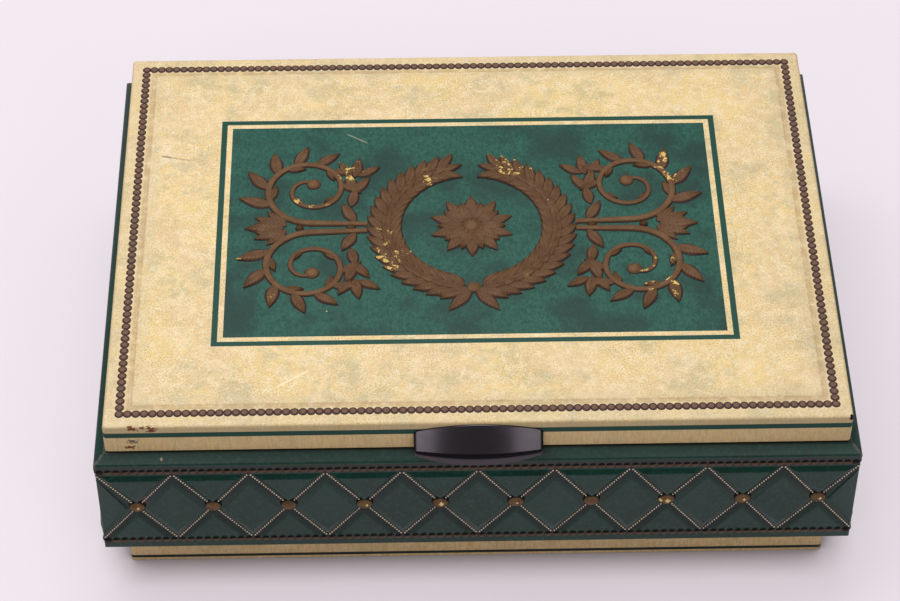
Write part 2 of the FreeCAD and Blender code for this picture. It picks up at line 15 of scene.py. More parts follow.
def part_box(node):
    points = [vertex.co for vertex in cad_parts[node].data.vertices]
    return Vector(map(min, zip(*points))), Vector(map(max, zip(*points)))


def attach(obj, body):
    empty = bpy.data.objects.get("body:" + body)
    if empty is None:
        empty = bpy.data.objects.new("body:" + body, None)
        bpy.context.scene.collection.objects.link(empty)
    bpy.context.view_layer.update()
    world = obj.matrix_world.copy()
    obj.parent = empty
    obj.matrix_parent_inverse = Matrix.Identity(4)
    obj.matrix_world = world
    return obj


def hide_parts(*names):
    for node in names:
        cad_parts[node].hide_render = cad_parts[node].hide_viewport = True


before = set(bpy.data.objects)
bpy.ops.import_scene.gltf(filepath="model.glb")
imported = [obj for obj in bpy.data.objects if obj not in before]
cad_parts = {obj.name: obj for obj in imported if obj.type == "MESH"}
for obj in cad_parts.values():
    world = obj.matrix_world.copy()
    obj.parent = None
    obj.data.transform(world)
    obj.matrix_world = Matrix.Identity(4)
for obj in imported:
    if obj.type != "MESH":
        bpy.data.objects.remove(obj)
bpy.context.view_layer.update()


# Base tray: a drawn tinplate pan whose wall shows below the band as the foot. Outside it carries the
# same parchment print as the lid, with one green line; inside it is bare lacquered tin.
MM = 0.001
CREAM = (0.81, 0.597, 0.325)
WARM_CREAM = (0.87, 0.64, 0.29)
PALE_CREAM = (0.96, 0.765, 0.485)
YELLOW_CREAM = (0.95, 0.70, 0.31)
OLIVE = (0.55, 0.475, 0.28)
PRINT_GREEN = (0.018, 0.070, 0.052)
FIBRE_WHITE = (0.98, 0.88, 0.64)
GRAIN_BROWN = (0.47, 0.36, 0.15)
SPECKLE_BROWN = (0.20, 0.09, 0.04)
TIN = (0.56, 0.52, 0.43)
TIN_BRIGHT = (0.70, 0.66, 0.55)
TIN_STAIN = (0.42, 0.35, 0.22)
FOOT_WARM = (0.93, 0.59, 0.27)
FOOT_GREEN = (0.008, 0.019, 0.018)
FOOT_LINE = (1.325, 2.675)
PRINT_EDGE = 0.06


class Wire:
    """A value on its way through a material's nodes, so that shader maths reads as plain maths."""

    def __init__(self, finish, socket):
        self.finish = finish
        self.socket = socket

    def math(self, operation, *others):
        return self.finish.node("Math", {"operation": operation}, [self, *others])

    def __add__(self, other):
        return self.math("ADD", other)

    def __sub__(self, other):
        return self.math("SUBTRACT", other)

    def __rsub__(self, other):
        return self.finish.node("Math", {"operation": "SUBTRACT"}, [other, self])

    def __mul__(self, other):
        return self.math("MULTIPLY", other)

    def __truediv__(self, other):
        return self.math("DIVIDE", other)

    __radd__ = __add__
    __rmul__ = __mul__

    def __abs__(self):
        return self.math("ABSOLUTE")

    def rise(self, low, high):
        """0 below low, 1 above high, and a smooth step between them."""
        settings = {"interpolation_type": "SMOOTHSTEP"}
        return self.finish.node("MapRange", settings, {0: self, 1: low, 2: high, 3: 0.0, 4: 1.0})

    def fall(self, low, high):
        """1 below low, 0 above high, and a smooth step between them."""
        return 1 - self.rise(low, high)

    def between(self, low, high, soft):
        """1 between two limits, with edges of a given softness."""
        return self.rise(low - soft, low + soft) * self.fall(high - soft, high + soft)


class Finish:
    """A material being mixed: one shader, and the nodes that colour it. Lengths are in millimetres.

    Its place says where the surface is, in the box's own frame.
    """

    def __init__(self, name, colour, values):
        self.material = bpy.data.materials.new(name)
        self.material.use_nodes = True
        self.tree = self.material.node_tree
        self.shader = self.tree.nodes["Principled BSDF"]
        metres = self.node("TexCoord", {}, {}, "Object")
        self.place = self.node("VectorMath", {"operation": "SCALE"}, {0: metres, "Scale": 1 / MM})
        self.colour = colour
        self.show({"Base Color": colour, **values})

    def set_input(self, socket, value):
        if isinstance(value, Wire):
            self.tree.links.new(value.socket, socket)
        elif socket.type == "RGBA":
            socket.default_value = (*value, 1)
        else:
            socket.default_value = value

    def node(self, kind, settings, inputs, output=0):
        """Any node: its settings first, then the values or wires of its sockets."""
        made = self.tree.nodes.new(f"ShaderNode{kind}")
        for name, value in settings.items():
            setattr(made, name, value)
        pairs = inputs.items() if isinstance(inputs, dict) else enumerate(inputs)
        for key, value in pairs:
            self.set_input(made.inputs[key], value)
        return Wire(self, made.outputs[output])

    def split(self, vector):
        made = self.tree.nodes.new("ShaderNodeSeparateXYZ")
        self.set_input(made.inputs[0], vector)
        return [Wire(self, socket) for socket in made.outputs]

    def unwrapped(self):
        """The two coordinates of a model's own unwrapping, from 0 to 1."""
        return self.split(self.node("TexCoord", {}, {}, "UV"))[:2]

    def noise(self, grain, detail=2.0, roughness=0.5, distortion=0.0, stretch=None):
        """Cloudy noise from 0 to 1, with lumps of about the grain's size, longer where stretch is small."""
        vector = self.place
        if stretch:
            vector = self.node("VectorMath", {"operation": "MULTIPLY"}, {0: vector, 1: stretch})
        inputs = {"Vector": vector, "Scale": 1 / grain, "Detail": detail}
        inputs.update({"Roughness": roughness, "Distortion": distortion})
        return self.node("TexNoise", {}, inputs)

    def cells(self, grain):
        """The distance from the nearest of many scattered points, in shares of the grain."""
        return self.node("TexVoronoi", {}, {"Vector": self.place, "Scale": 1 / grain})

    def mix(self, share, under, over):
        """One colour laid over another by a share from 0 to 1."""
        return self.node("Mix", {"data_type": "RGBA"}, {0: share, 6: under, 7: over}, 2)

    def coat(self, share, over):
        """Lays one more colour over the base colour, by a share from 0 to 1."""
        self.colour = self.mix(share, self.colour, over)
        self.show({"Base Color": self.colour})

    def bump(self, height, depth):
        """A surface normal pressed by a height from 0 to 1 of a depth in millimetres."""
        return self.node("Bump", {}, {"Height": height, "Distance": depth * MM, "Strength": 1.0})

    def show(self, values):
        """Sets the shader's own sockets, by name."""
        for socket, value in values.items():
            self.set_input(self.shader.inputs[socket], value)

    def paint(self, piece):
        piece.data.materials.append(self.material)


def parchment(finish):
    """The print's cream ground: warm and pale clouds, olive blotches, fibres, grain and brown specks."""
    clouds = finish.noise(24.0, 3.0)
    finish.coat(clouds.rise(0.40, 0.62), WARM_CREAM)
    pale = finish.noise(4.5, 4.0, 0.65).rise(0.40, 0.68)
    finish.coat(pale * 0.8, PALE_CREAM)
    yellow = finish.noise(5.0, 4.0, 0.6, 0.6, stretch=(0.7, 1.0, 1.0)).rise(0.52, 0.72)
    finish.coat(yellow * 0.6, YELLOW_CREAM)
    spots = finish.noise(2.4, 3.0, 0.6, 0.4).rise(0.50, 0.70)
    patches = finish.noise(22.0, 2.0).rise(0.42, 0.58)
    finish.coat(spots * patches * 0.55, OLIVE)
    shadows = finish.noise(11.0, 5.0, 0.65).rise(0.50, 0.66)
    finish.coat(shadows * 0.6, OLIVE)
    long_fibres = abs(finish.noise(8.0, 1.0, 0.5, 1.6) - 0.5).fall(0.006, 0.022)
    short_fibres = abs(finish.noise(2.6, 1.0, 0.5, 2.4) - 0.5).fall(0.01, 0.05)
    fibres = long_fibres.math("MAXIMUM", short_fibres * 0.6)
    finish.coat(fibres * 0.42, FIBRE_WHITE)
    grain = finish.noise(0.55, 2.0, 0.7)
    rough_parts = finish.noise(16.0, 3.0).rise(0.35, 0.65)
    finish.coat(grain.rise(0.46, 0.62) * (0.36 + rough_parts * 0.3), GRAIN_BROWN)
    speck_centres = finish.cells(4.0)
    specks = speck_centres.fall(0.03, 0.07) * finish.noise(15.0).rise(0.54, 0.60)
    finish.coat(specks * 0.6, SPECKLE_BROWN)
    return fibres, grain


def bare_tin(name, roughness):
    """Tinplate under a faintly golden lacquer, with drawn streaks and soft stains."""
    finish = Finish(name, TIN, {"Metallic": 0.92})
    streaks = finish.noise(1.4, 3.0, stretch=(0.08, 0.08, 1.0))
    stains = finish.noise(14.0, 3.0).rise(0.45, 0.75)
    finish.coat(streaks.rise(0.3, 0.7) * 0.35, TIN_BRIGHT)
    finish.coat(stains * 0.3, TIN_STAIN)
    finish.show({"Roughness": roughness + streaks * 0.2})
    return finish, streaks


SHEET = 0.4 * MM
TINY = 0.02 * MM
FOOT_CORNER = 1.0 * MM
FOOT_EDGE = 0.25 * MM


def start_piece(name, add, scale=(1, 1, 1), **settings):
    """Adds a primitive with nothing else selected, puts its size and place in its mesh, and opens it."""
    bpy.ops.object.select_all(action="DESELECT")
    add(**settings)
    piece = bpy.context.object
    piece.name = name
    piece.data.name = name
    piece.scale = scale
    bpy.ops.object.transform_apply(location=True, rotation=True, scale=True)
    bpy.ops.object.mode_set(mode="EDIT")
    return piece


def start_box(name, low, high):
    """Starts a piece from a cube stretched between two corners."""
    low, high = Vector(low), Vector(high)
    return start_piece(
        name, bpy.ops.mesh.primitive_cube_add, size=1, location=(low + high) / 2, scale=high - low
    )


SELECT_MODES = {"verts": (True, False, False), "edges": (False, True, False), "faces": (False, False, True)}


def select(piece, kind, test):
    """Selects, in edit mode, only the verts, edges or faces that pass a test."""
    bpy.context.tool_settings.mesh_select_mode = SELECT_MODES[kind]
    bpy.ops.mesh.select_all(action="DESELECT")
    mesh = bmesh.from_edit_mesh(piece.data)
    mesh.normal_update()
    for element in getattr(mesh, kind):
        element.select_set(bool(test(element)))
    mesh.select_flush_mode()
    bmesh.update_edit_mesh(piece.data)


def is_upright(edge):
    run = edge.verts[0].co - edge.verts[1].co
    return math.hypot(run.x, run.y) < TINY


def bevel(piece, test, offset, segments, **settings):
    """Rounds the edges that pass a test."""
    select(piece, "edges", test)
    bpy.ops.mesh.bevel(offset=offset, segments=segments, affect="EDGES", **settings)


def make_active(piece):
    """Leaves only this piece selected, and active."""
    bpy.ops.object.select_all(action="DESELECT")
    bpy.context.view_layer.objects.active = piece
    piece.select_set(True)


def finish_piece(piece, *modifiers):
    """Leaves edit mode and applies modifiers, each a kind and its settings."""
    bpy.ops.object.mode_set(mode="OBJECT")
    make_active(piece)
    for kind, settings in modifiers:
        modifier = piece.modifiers.new(kind.title(), kind)
        for name, value in settings.items():
            setattr(modifier, name, value)
        bpy.ops.object.modifier_apply(modifier=modifier.name)
    return piece


def shade(piece, angle):
    """Smooths the shading across edges blunter than an angle."""
    make_active(piece)
    bpy.ops.object.shade_smooth_by_angle(angle=math.radians(angle))


def paint_sheet(piece, outside, inside):
    """Gives a sheet its thickness, with one finish outside and another inside."""
    outside.paint(piece)
    inside.paint(piece)
    finish_piece(piece, ("SOLIDIFY", {"thickness": SHEET, "offset": -1, "material_offset": 1}))
    shade(piece, angle=40)


foot_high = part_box("base_tray")[1]
tray = start_box("foot_tray", (-foot_high.x, -foot_high.y, 0), foot_high)
select(tray, "faces", lambda face: face.normal.z > 0.5)
bpy.ops.mesh.delete(type="ONLY_FACE")
bevel(tray, is_upright, FOOT_CORNER, segments=3)
bevel(tray, lambda edge: max(vert.co.z for vert in edge.verts) < TINY, FOOT_EDGE, segments=3)
foot_enamel = Finish("foot_enamel", CREAM, {"IOR": 1.45, "Specular IOR Level": 0.3})
foot_z = foot_enamel.split(foot_enamel.place)[2]
foot_fibres, foot_grain = parchment(foot_enamel)
foot_enamel.coat(0.4, FOOT_WARM)
foot_streaks = foot_enamel.noise(0.9, 4.0, 0.7, stretch=(1.0, 1.0, 0.2))
foot_enamel.coat(foot_streaks.rise(0.44, 0.66) * 0.4, GRAIN_BROWN)
foot_enamel.coat(foot_z.between(*FOOT_LINE, PRINT_EDGE), FOOT_GREEN)
foot_enamel.show({
    "Roughness": 0.40 + foot_grain * 0.16,
    "Normal": foot_enamel.bump(foot_fibres + foot_grain, 0.012),
})
paint_sheet(tray, foot_enamel, bare_tin("tray_inside", roughness=0.28)[0])
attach(tray, "case")
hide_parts("base_tray")


# Liner: the plain inner wall of tinplate that stands in the tray. Its hemmed rim rises past the
# shoulder as the neck that the lid closes over.
def paint_node(name, finish):
    """Gives a node of the frame its finish."""
    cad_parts[name].material_slots[0].material = finish.material


liner_tin, liner_streaks = bare_tin("liner_tin", roughness=0.26)
liner_tin.show({"Normal": liner_tin.bump(liner_streaks, 0.01)})
paint_node("liner", liner_tin)


# Band sleeve: one tinplate sheet pressed into a quilt of diamonds, wrapped round the case and turned in
# below to the foot. Dark green gloss lacquer covers it.
QUILT_FOOT = 20.6 * MM
QUILT_TOP = 52.8 * MM
QUILT_HALF = (QUILT_TOP - QUILT_FOOT) / 2
STUD_LEVEL = (QUILT_FOOT + QUILT_TOP) / 2
CELLS_ACROSS = 10
CELLS_DEEP = 7
BAND_SEAM = 0.35 * MM
CORNER_ROUND = 0.35 * MM
PILLOW_STEPS = ((0.45, 0.0), (0.12, 0.05), (1.45, 1.05), (0.25, 0.09), (0.5, 0.04), (0.8, 0.01))
STUD_DIMPLE = 3.0 * MM
DIMPLE_SHARE = 0.35
BAND_RECESS = 0.3 * MM
fold_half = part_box("shoulder_frame")[1]
band_half = Vector((fold_half.x - BAND_RECESS, fold_half.y - BAND_RECESS))
BAND_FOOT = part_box("band_sleeve")[0].z
BAND_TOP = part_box("band_sleeve")[1].z


def middle(element):
    """The middle of an edge or a face."""
    return sum((vert.co for vert in element.verts), Vector()) / len(element.verts)


def cut(piece, point, normal, test=None, **settings):
    """Cuts the piece, or only the faces that pass a test, along a plane."""
    select(piece, "faces", test or (lambda face: True))
    bpy.ops.mesh.bisect(plane_co=point, plane_no=normal, **settings)


def extend_rim(piece, level):
    """Starts a row of faces from the open edges that lie at a level or below it."""
    select(piece, "edges", lambda edge: edge.is_boundary
           and max(vert.co.z for vert in edge.verts) < level + TINY)
    bpy.ops.mesh.extrude_edges_move()


band = start_box(
    "band_quilt", (-band_half.x, -band_half.y, BAND_FOOT), (band_half.x, band_half.y, BAND_TOP - BAND_SEAM)
)
select(band, "faces", lambda face: abs(face.normal.z) > 0.5)
bpy.ops.mesh.delete(type="ONLY_FACE")
for level in (QUILT_FOOT, QUILT_TOP):
    cut(band, (0, 0, level), (0, 0, 1))
for i in range(1, CELLS_ACROSS):
    cut(band, ((2 * i / CELLS_ACROSS - 1) * band_half.x, 0, 0), (1, 0, 0))
for i in range(1, CELLS_DEEP):
    cut(band, (0, (2 * i / CELLS_DEEP - 1) * band_half.y, 0), (0, 1, 0))


def in_quilt(element):
    return QUILT_FOOT + TINY < middle(element).z < QUILT_TOP - TINY


def at_corner(element):
    spot = middle(element)
    return abs(spot.x) > band_half.x - TINY and abs(spot.y) > band_half.y - TINY


select(band, "faces", in_quilt)
bpy.ops.mesh.poke()
select(band, "edges", lambda edge: in_quilt(edge) and is_upright(edge) and not at_corner(edge))
bpy.ops.mesh.dissolve_edges(use_verts=False)


def touches_corner(face):
    return any(at_corner(edge) and is_upright(edge) for edge in face.edges)


select(band, "faces", lambda face: in_quilt(face) and not touches_corner(face))
for width, height in PILLOW_STEPS:
    bpy.ops.mesh.inset(thickness=width * MM, depth=height * MM, use_individual=True)


def raise_end_cells(axis, half_length, cell_count):
    """Lifts the cells next to the corners, fully by the stud and not at all at the corner."""
    across = 1 - axis
    half_cell = half_length / cell_count
    lean = math.sin(math.atan2(QUILT_HALF, half_cell))
    inset, rise = 0.0, 0.0
    for width, height in PILLOW_STEPS:
        inset += width * MM / lean
        rise += height * MM
        place = half_length - half_cell + inset
        select(band, "verts", lambda vert: abs(abs(vert.co[axis]) - place) < 3 * TINY
               and abs(vert.co.z - STUD_LEVEL) < 3 * TINY)
        growth = [1, 1, 1]
        growth[across] = 1 + rise / band_half[across]
        bpy.ops.transform.resize(value=growth, center_override=(0, 0, 0))


for width, _ in PILLOW_STEPS:
    select(band, "faces", lambda face: len(face.verts) == 3 and touches_corner(face))
    bpy.ops.mesh.inset(thickness=width * MM, depth=0)
    for side_x, side_y in ((-1, -1), (-1, 1), (1, -1), (1, 1)):
        select(band, "verts", lambda vert: vert.co.x * side_x > band_half.x - TINY
               and vert.co.y * side_y > band_half.y - TINY)
        bpy.ops.transform.resize(
            value=(0, 0, 1), center_override=(side_x * band_half.x, side_y * band_half.y, 0)
        )
raise_end_cells(0, band_half.x, CELLS_ACROSS)
raise_end_cells(1, band_half.y, CELLS_DEEP)


def near_stud(along, half_length, cell_count, level):
    cell = 2 * half_length / cell_count
    off_centre = (along + half_length) % cell - cell / 2
    return math.hypot(off_centre, level - STUD_LEVEL) < STUD_DIMPLE


for side in (-1, 1):
    select(band, "verts", lambda vert: vert.co.y * side > band_half.y - TINY
           and near_stud(vert.co.x, band_half.x, CELLS_ACROSS, vert.co.z))
    bpy.ops.transform.resize(value=(1, DIMPLE_SHARE, 1), center_override=(0, band_half.y * side, 0))
    select(band, "verts", lambda vert: vert.co.x * side > band_half.x - TINY
           and near_stud(vert.co.y, band_half.y, CELLS_DEEP, vert.co.z))
    bpy.ops.transform.resize(value=(DIMPLE_SHARE, 1, 1), center_override=(band_half.x * side, 0, 0))
extend_rim(band, BAND_FOOT)
bpy.ops.transform.resize(value=(foot_high.x / band_half.x, foot_high.y / band_half.y, 1))
bevel(band, lambda edge: all(
    abs(vert.co.x) > band_half.x - TINY and abs(vert.co.y) > band_half.y - TINY for vert in edge.verts
), CORNER_ROUND, segments=3)
finish_piece(band, ("SOLIDIFY", {"thickness": SHEET, "offset": -1}))
shade(band, angle=30)

LACQUER = (0.005, 0.034, 0.023)
LACQUER_WORN = (0.010, 0.054, 0.038)
LACQUER_LIGHT = (0.013, 0.072, 0.051)
LACQUER_DUST = (0.024, 0.038, 0.030)
ROPE_SHADE_BROWN = (0.012, 0.007, 0.006)
PAINTED_SHADE_GREEN = (0.002, 0.008, 0.006)
BEAD_GROUND = (0.019, 0.015, 0.014)
STAIN_RED = (0.11, 0.022, 0.016)
STAIN_X = -108.6
STAIN_Z = 39.8


def green_lacquer(name, gloss, roughness):
    """Dark green gloss lacquer with a faint orange peel and a little dust."""
    finish = Finish(name, LACQUER, {"IOR": 1.5, "Specular IOR Level": gloss})
    clouds = finish.noise(17.0, 3.0).rise(0.35, 0.7)
    finish.coat(clouds * 0.6, LACQUER_WORN)
    mottle = finish.noise(1.3, 4.0, 0.7)
    finish.coat(mottle.rise(0.48, 0.68) * 0.8, LACQUER_LIGHT)
    streaks = finish.noise(0.7, 3.0, stretch=(1.0, 1.0, 0.25))
    finish.coat(streaks.rise(0.52, 0.75) * 0.5, LACQUER_DUST)
    peel = finish.noise(0.8, 2.0)
    finish.show({"Roughness": roughness + streaks * 0.10, "Normal": finish.bump(peel, 0.008)})
    return finish


def near_rope(along, up, cell):
    """How far a point of the band lies from the nearest rope, in millimetres, and if it lies below it."""
    reach = cell / 2
    half_rise = QUILT_HALF / MM
    across = abs((along / cell).math("FRACT") - 0.5) * 2
    over_stud = (up - STUD_LEVEL / MM) / half_rise
    past = across - abs(over_stud)
    return abs(past) * (reach * half_rise / math.hypot(reach, half_rise)), (past * over_stud).rise(0, 0.004)


band_lacquer = green_lacquer("band_lacquer", gloss=0.30, roughness=0.20)
band_x, band_y, band_z = band_lacquer.split(band_lacquer.place)
cell_across = 2 * band_half.x / CELLS_ACROSS / MM
cell_deep = 2 * band_half.y / CELLS_DEEP / MM
long_wall = abs(band_y).rise(band_half.y / MM - 0.3, band_half.y / MM - 0.2)
off_long, under_long = near_rope(band_x + band_half.x / MM, band_z, cell_across)
off_short, under_short = near_rope(band_y + band_half.y / MM, band_z, cell_deep)
off_rope = off_long * long_wall + off_short * (1 - long_wall)
under_rope = under_long * long_wall + under_short * (1 - long_wall)
in_rows = band_z.between(QUILT_FOOT / MM, QUILT_TOP / MM, 0.1)
on_upper_border = band_z.rise(QUILT_TOP / MM - 0.1, QUILT_TOP / MM + 0.1)
band_lacquer.coat(on_upper_border * 0.75, BEAD_GROUND)
# Painted shade: the lacquer just below each rope is darkened to a deep green.
painted_shade_below_ropes = off_rope.fall(1.0, 2.8) * under_rope * in_rows
band_lacquer.coat(painted_shade_below_ropes * 0.75, PAINTED_SHADE_GREEN)
# Painted shade: a thin dark brown line along each rope, for the crease beside it.
band_lacquer.coat(off_rope.fall(0.35, 0.75) * in_rows, ROPE_SHADE_BROWN)
stain_edge = band_lacquer.noise(0.9, 3.0) - 0.5
off_stain = abs(band_x - STAIN_X) + abs(band_z - STAIN_Z) * 0.7 + stain_edge * 3
on_front_wall = band_y.fall(-band_half.y / MM + 1, -band_half.y / MM + 2)
stain = off_stain.fall(0.8, 1.8) * on_front_wall
band_lacquer.coat(stain * 0.8, STAIN_RED)
band_lacquer.paint(band)
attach(band, "case")
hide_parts("band_sleeve")


# Band ropes: thin twisted cords pressed in the valleys of the quilt, two crossing in each cell. They are
# pressed in the same sheet, and printed cream, with painted shade in brown round the foot of each turn.
ROPE_WIDTH = 0.6
ROPE_PROUD = 0.38
TWIST = 1.05
TWIST_FILL = 0.74
TWIST_LEAN = 22
ROPE_START = 2.5
ROPE_END = 0.5
ROPE_CREAM = (0.92, 0.80, 0.62)
ROPE_BROWN = (0.09, 0.05, 0.035)
WALLS = (
    (0, band_half.x, band_half.y, CELLS_ACROSS),
    (90, band_half.y, band_half.x, CELLS_DEEP),
    (180, band_half.x, band_half.y, CELLS_ACROSS),
    (270, band_half.y, band_half.x, CELLS_DEEP),
)


def lay(model, name, matrices, angle):
    """Copies a modelled shape to many places, as one piece, smooth across edges blunter than an angle."""
    copies = []
    for matrix in matrices:
        copy = bpy.data.objects.new(name, model.data.copy())
        copy.data.transform(matrix)
        if matrix.determinant() < 0:
            copy.data.flip_normals()
        bpy.context.collection.objects.link(copy)
        copies.append(copy)
    bpy.ops.object.select_all(action="DESELECT")
    for copy in copies:
        copy.select_set(True)
    bpy.context.view_layer.objects.active = copies[0]
    bpy.ops.object.join()
    copies[0].data.name = name
    shade(copies[0], angle)
    return copies[0]


def put_away(model):
    bpy.data.objects.remove(model, do_unlink=True)


def on_wall(turn, distance, along, level):
    """Turns a shape that lies on the ground, facing up, to face out from one wall of the band."""
    stand = Matrix.Rotation(math.radians(90), 4, "X")
    place = Matrix.Translation((along, -distance, level))
    return Matrix.Rotation(math.radians(turn), 4, "Z") @ place @ stand


def flat_turn(degrees):
    return Matrix.Rotation(math.radians(degrees), 4, "Z")


def half_bead(name, across, along, proud, segments, rings):
    """The upper half of a ball, pressed flat: one bead or one turn of a twist."""
    bead = start_piece(
        name,
        bpy.ops.mesh.primitive_uv_sphere_add,
        segments=segments,
        ring_count=rings,
        radius=1,
        scale=(along / 2 * MM, across / 2 * MM, proud * MM),
    )
    cut(bead, (0, 0, 0), (0, 0, 1), clear_inner=True, use_fill=True)
    return finish_piece(bead)


grain = half_bead("rope_turn", ROPE_WIDTH, TWIST * TWIST_FILL, ROPE_PROUD, segments=8, rings=4)
rope_places = []
for turn, half_length, distance, cell_count in WALLS:
    half_cell = half_length / cell_count
    slope = math.degrees(math.atan2(QUILT_HALF, half_cell))
    leg = math.hypot(QUILT_HALF, half_cell) / MM - ROPE_START - ROPE_END
    turns = round(leg / TWIST)
    for cell in range(cell_count):
        centre = (2 * cell + 1) * half_cell - half_length
        for heading in (slope, 180 - slope, 180 + slope, -slope):
            on_cell = on_wall(turn, distance, centre, STUD_LEVEL) @ flat_turn(heading)
            for i in range(turns):
                out = Matrix.Translation(((ROPE_START + (i + 0.5) * leg / turns) * MM, 0, 0))
                rope_places.append(on_cell @ out @ flat_turn(TWIST_LEAN))
ropes = lay(grain, "band_ropes", rope_places, angle=60)
put_away(grain)
rope_print = Finish("rope_print", ROPE_BROWN, {"Roughness": 0.45})
rope_height = rope_print.unwrapped()[1]
rope_dust = rope_print.noise(6.0)
# Painted shade: each turn of the rope is brown round its foot and cream only on top.
rope_print.coat(rope_height.rise(0.56, 0.64), ROPE_CREAM)
rope_print.coat(rope_dust.rise(0.52, 0.75) * 0.3, ROPE_BROWN)
rope_print.paint(ropes)
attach(ropes, "case")


# Band beads: a row of small pressed beads runs round above the quilt and another below it, printed
# red-brown, with black shadows painted along their tops.
BEAD_LEVELS = (53.95, 19.6)
BEAD_PITCH = 2.74
BEAD_LONG = 2.6
BEAD_TALL = 2.4
BEAD_PROUD = 0.5
BEAD_LEAN = 14
BLACK_SIDE = 0.76
BEAD_RED = (0.155, 0.098, 0.068)
BEAD_WORN = (0.12, 0.060, 0.042)
BEAD_BLACK = (0.013, 0.010, 0.009)
band_bead = half_bead("band_bead", BEAD_TALL, BEAD_LONG, BEAD_PROUD, segments=10, rings=6)
bead_places = []
for turn, half_length, distance, _ in WALLS:
    bead_count = round(2 * half_length / MM / BEAD_PITCH)
    pitch = 2 * half_length / bead_count
    for level in BEAD_LEVELS:
        for i in range(bead_count):
            along = (i + 0.5) * pitch - half_length
            bead_places.append(on_wall(turn, distance, along, level * MM) @ flat_turn(-BEAD_LEAN))
band_beads = lay(band_bead, "band_beads", bead_places, angle=60)
put_away(band_bead)
band_bead_print = Finish("band_bead_print", BEAD_RED, {"Roughness": 0.5, "Specular IOR Level": 0.08})
bead_round, bead_height = band_bead_print.unwrapped()
bead_turn = ((bead_round - BLACK_SIDE) * (2 * math.pi)).math("COSINE")
bead_upper = bead_turn * (1 - bead_height) * 2
bead_wear = band_bead_print.noise(3.0, 2.0)
band_bead_print.coat(bead_wear.rise(0.45, 0.7) * 0.6, BEAD_WORN)
bead_x, bead_y = band_bead_print.split(band_bead_print.place)[:2]
from_corner = (band_half.x / MM - abs(bead_x)).math("MAXIMUM", band_half.y / MM - abs(bead_y))
band_bead_print.coat(from_corner.fall(2.6, 2.9) * 0.85, BEAD_BLACK)
# Painted shadow: the upper side of each bead is black.
band_bead_print.coat(bead_upper.rise(0.08, 0.40), BEAD_BLACK)
band_bead_print.paint(band_beads)
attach(band_beads, "case")


# Band studs: domed heads pressed where the ropes cross, printed bronze, with a dark ring round each and
# a few worn spots that show the gold below.
STUD_RADIUS = 2.5
STUD_TALL = 0.87
STUD_RISE = 0.4 * MM
STUD_SEAT = 0.55
STUD_COLLAR = 0.28
STUD_STEPS = ((0.26, 0.0), (0.14, 0.26), (0.40, 0.18), (0.60, 0.12), (0.70, 0.06))
stud = start_piece(
    "stud_model",
    bpy.ops.mesh.primitive_cylinder_add,
    vertices=24,
    radius=(STUD_RADIUS + STUD_COLLAR) * MM,
    depth=STUD_SEAT * MM,
    location=(0, 0, STUD_SEAT / 2 * MM),
)
select(stud, "faces", lambda face: face.normal.z > 0.9)
for width, height in STUD_STEPS:
    bpy.ops.mesh.inset(thickness=width * MM, depth=height * MM)
finish_piece(stud)
stud_places = []
for turn, half_length, distance, cell_count in WALLS:
    for cell in range(cell_count):
        centre = (2 * cell + 1) * half_length / cell_count - half_length
        on_cell = on_wall(turn, distance, centre, STUD_LEVEL + STUD_RISE)
        stud_places.append(on_cell @ Matrix.Diagonal((1, STUD_TALL, 1, 1)))
studs = lay(stud, "band_studs", stud_places, angle=40)
put_away(stud)
STUD_BRONZE = (0.175, 0.092, 0.034)
STUD_DARK = (0.100, 0.053, 0.021)
STUD_RING = (0.014, 0.008, 0.007)
GOLD = (1.0, 0.74, 0.30)
CHIP_LEVEL = STUD_LEVEL / MM + 0.3
STUD_CHIPS = (
    (62.0, 0.9), (59.6, 0.75), (87.0, 0.55), (111.9, 0.6),
    (-110.8, 0.6), (-36.2, 0.45), (-12.0, 0.85), (12.8, 0.3),
)
stud_print = Finish("stud_print", STUD_BRONZE, {"Roughness": 0.42, "Specular IOR Level": 0.22})
stud_x, stud_y, stud_z = stud_print.split(stud_print.place)
stud_clouds = stud_print.noise(1.8, 3.0)
stud_print.coat(stud_clouds.rise(0.42, 0.68), STUD_DARK)
stud_out = (abs(stud_x) - band_half.x / MM).math("MAXIMUM", abs(stud_y) - band_half.y / MM)
stud_print.coat(stud_out.fall(STUD_SEAT + 0.05, STUD_SEAT + 0.2), STUD_RING)
chip_edge = stud_print.noise(0.7, 2.0) - 0.5
on_front = stud_y.fall(-band_half.y / MM, -band_half.y / MM + 1)
for chip_x, chip_size in STUD_CHIPS:
    chip_off = abs(stud_x - chip_x) + abs(stud_z - CHIP_LEVEL) * 0.8 + chip_edge
    chip = chip_off.fall(chip_size - 0.1, chip_size + 0.1) * on_front
    stud_print.coat(chip, GOLD)
stud_print.paint(studs)
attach(studs, "case")


# Shoulder frame: a plain sheet folded over the top of the band, with mitred corners, and a flat ledge
# in to the neck. It has the same green lacquer.
SHOULDER_RUN = 3.0 * MM
FOLD_LIP = 1.0 * MM
FOLD_ROUND = 0.5 * MM
FOLD_SHEET = 0.28 * MM
FOLD_EDGE = 0.25 * MM
NECK_GAP = 0.05 * MM


def rounding(width, segments, angle):
    """A bevel of all edges sharper than an angle, for finish_piece."""
    settings = {"width": width, "segments": segments, "limit_method": "ANGLE"}
    return "BEVEL", {**settings, "angle_limit": math.radians(angle)}


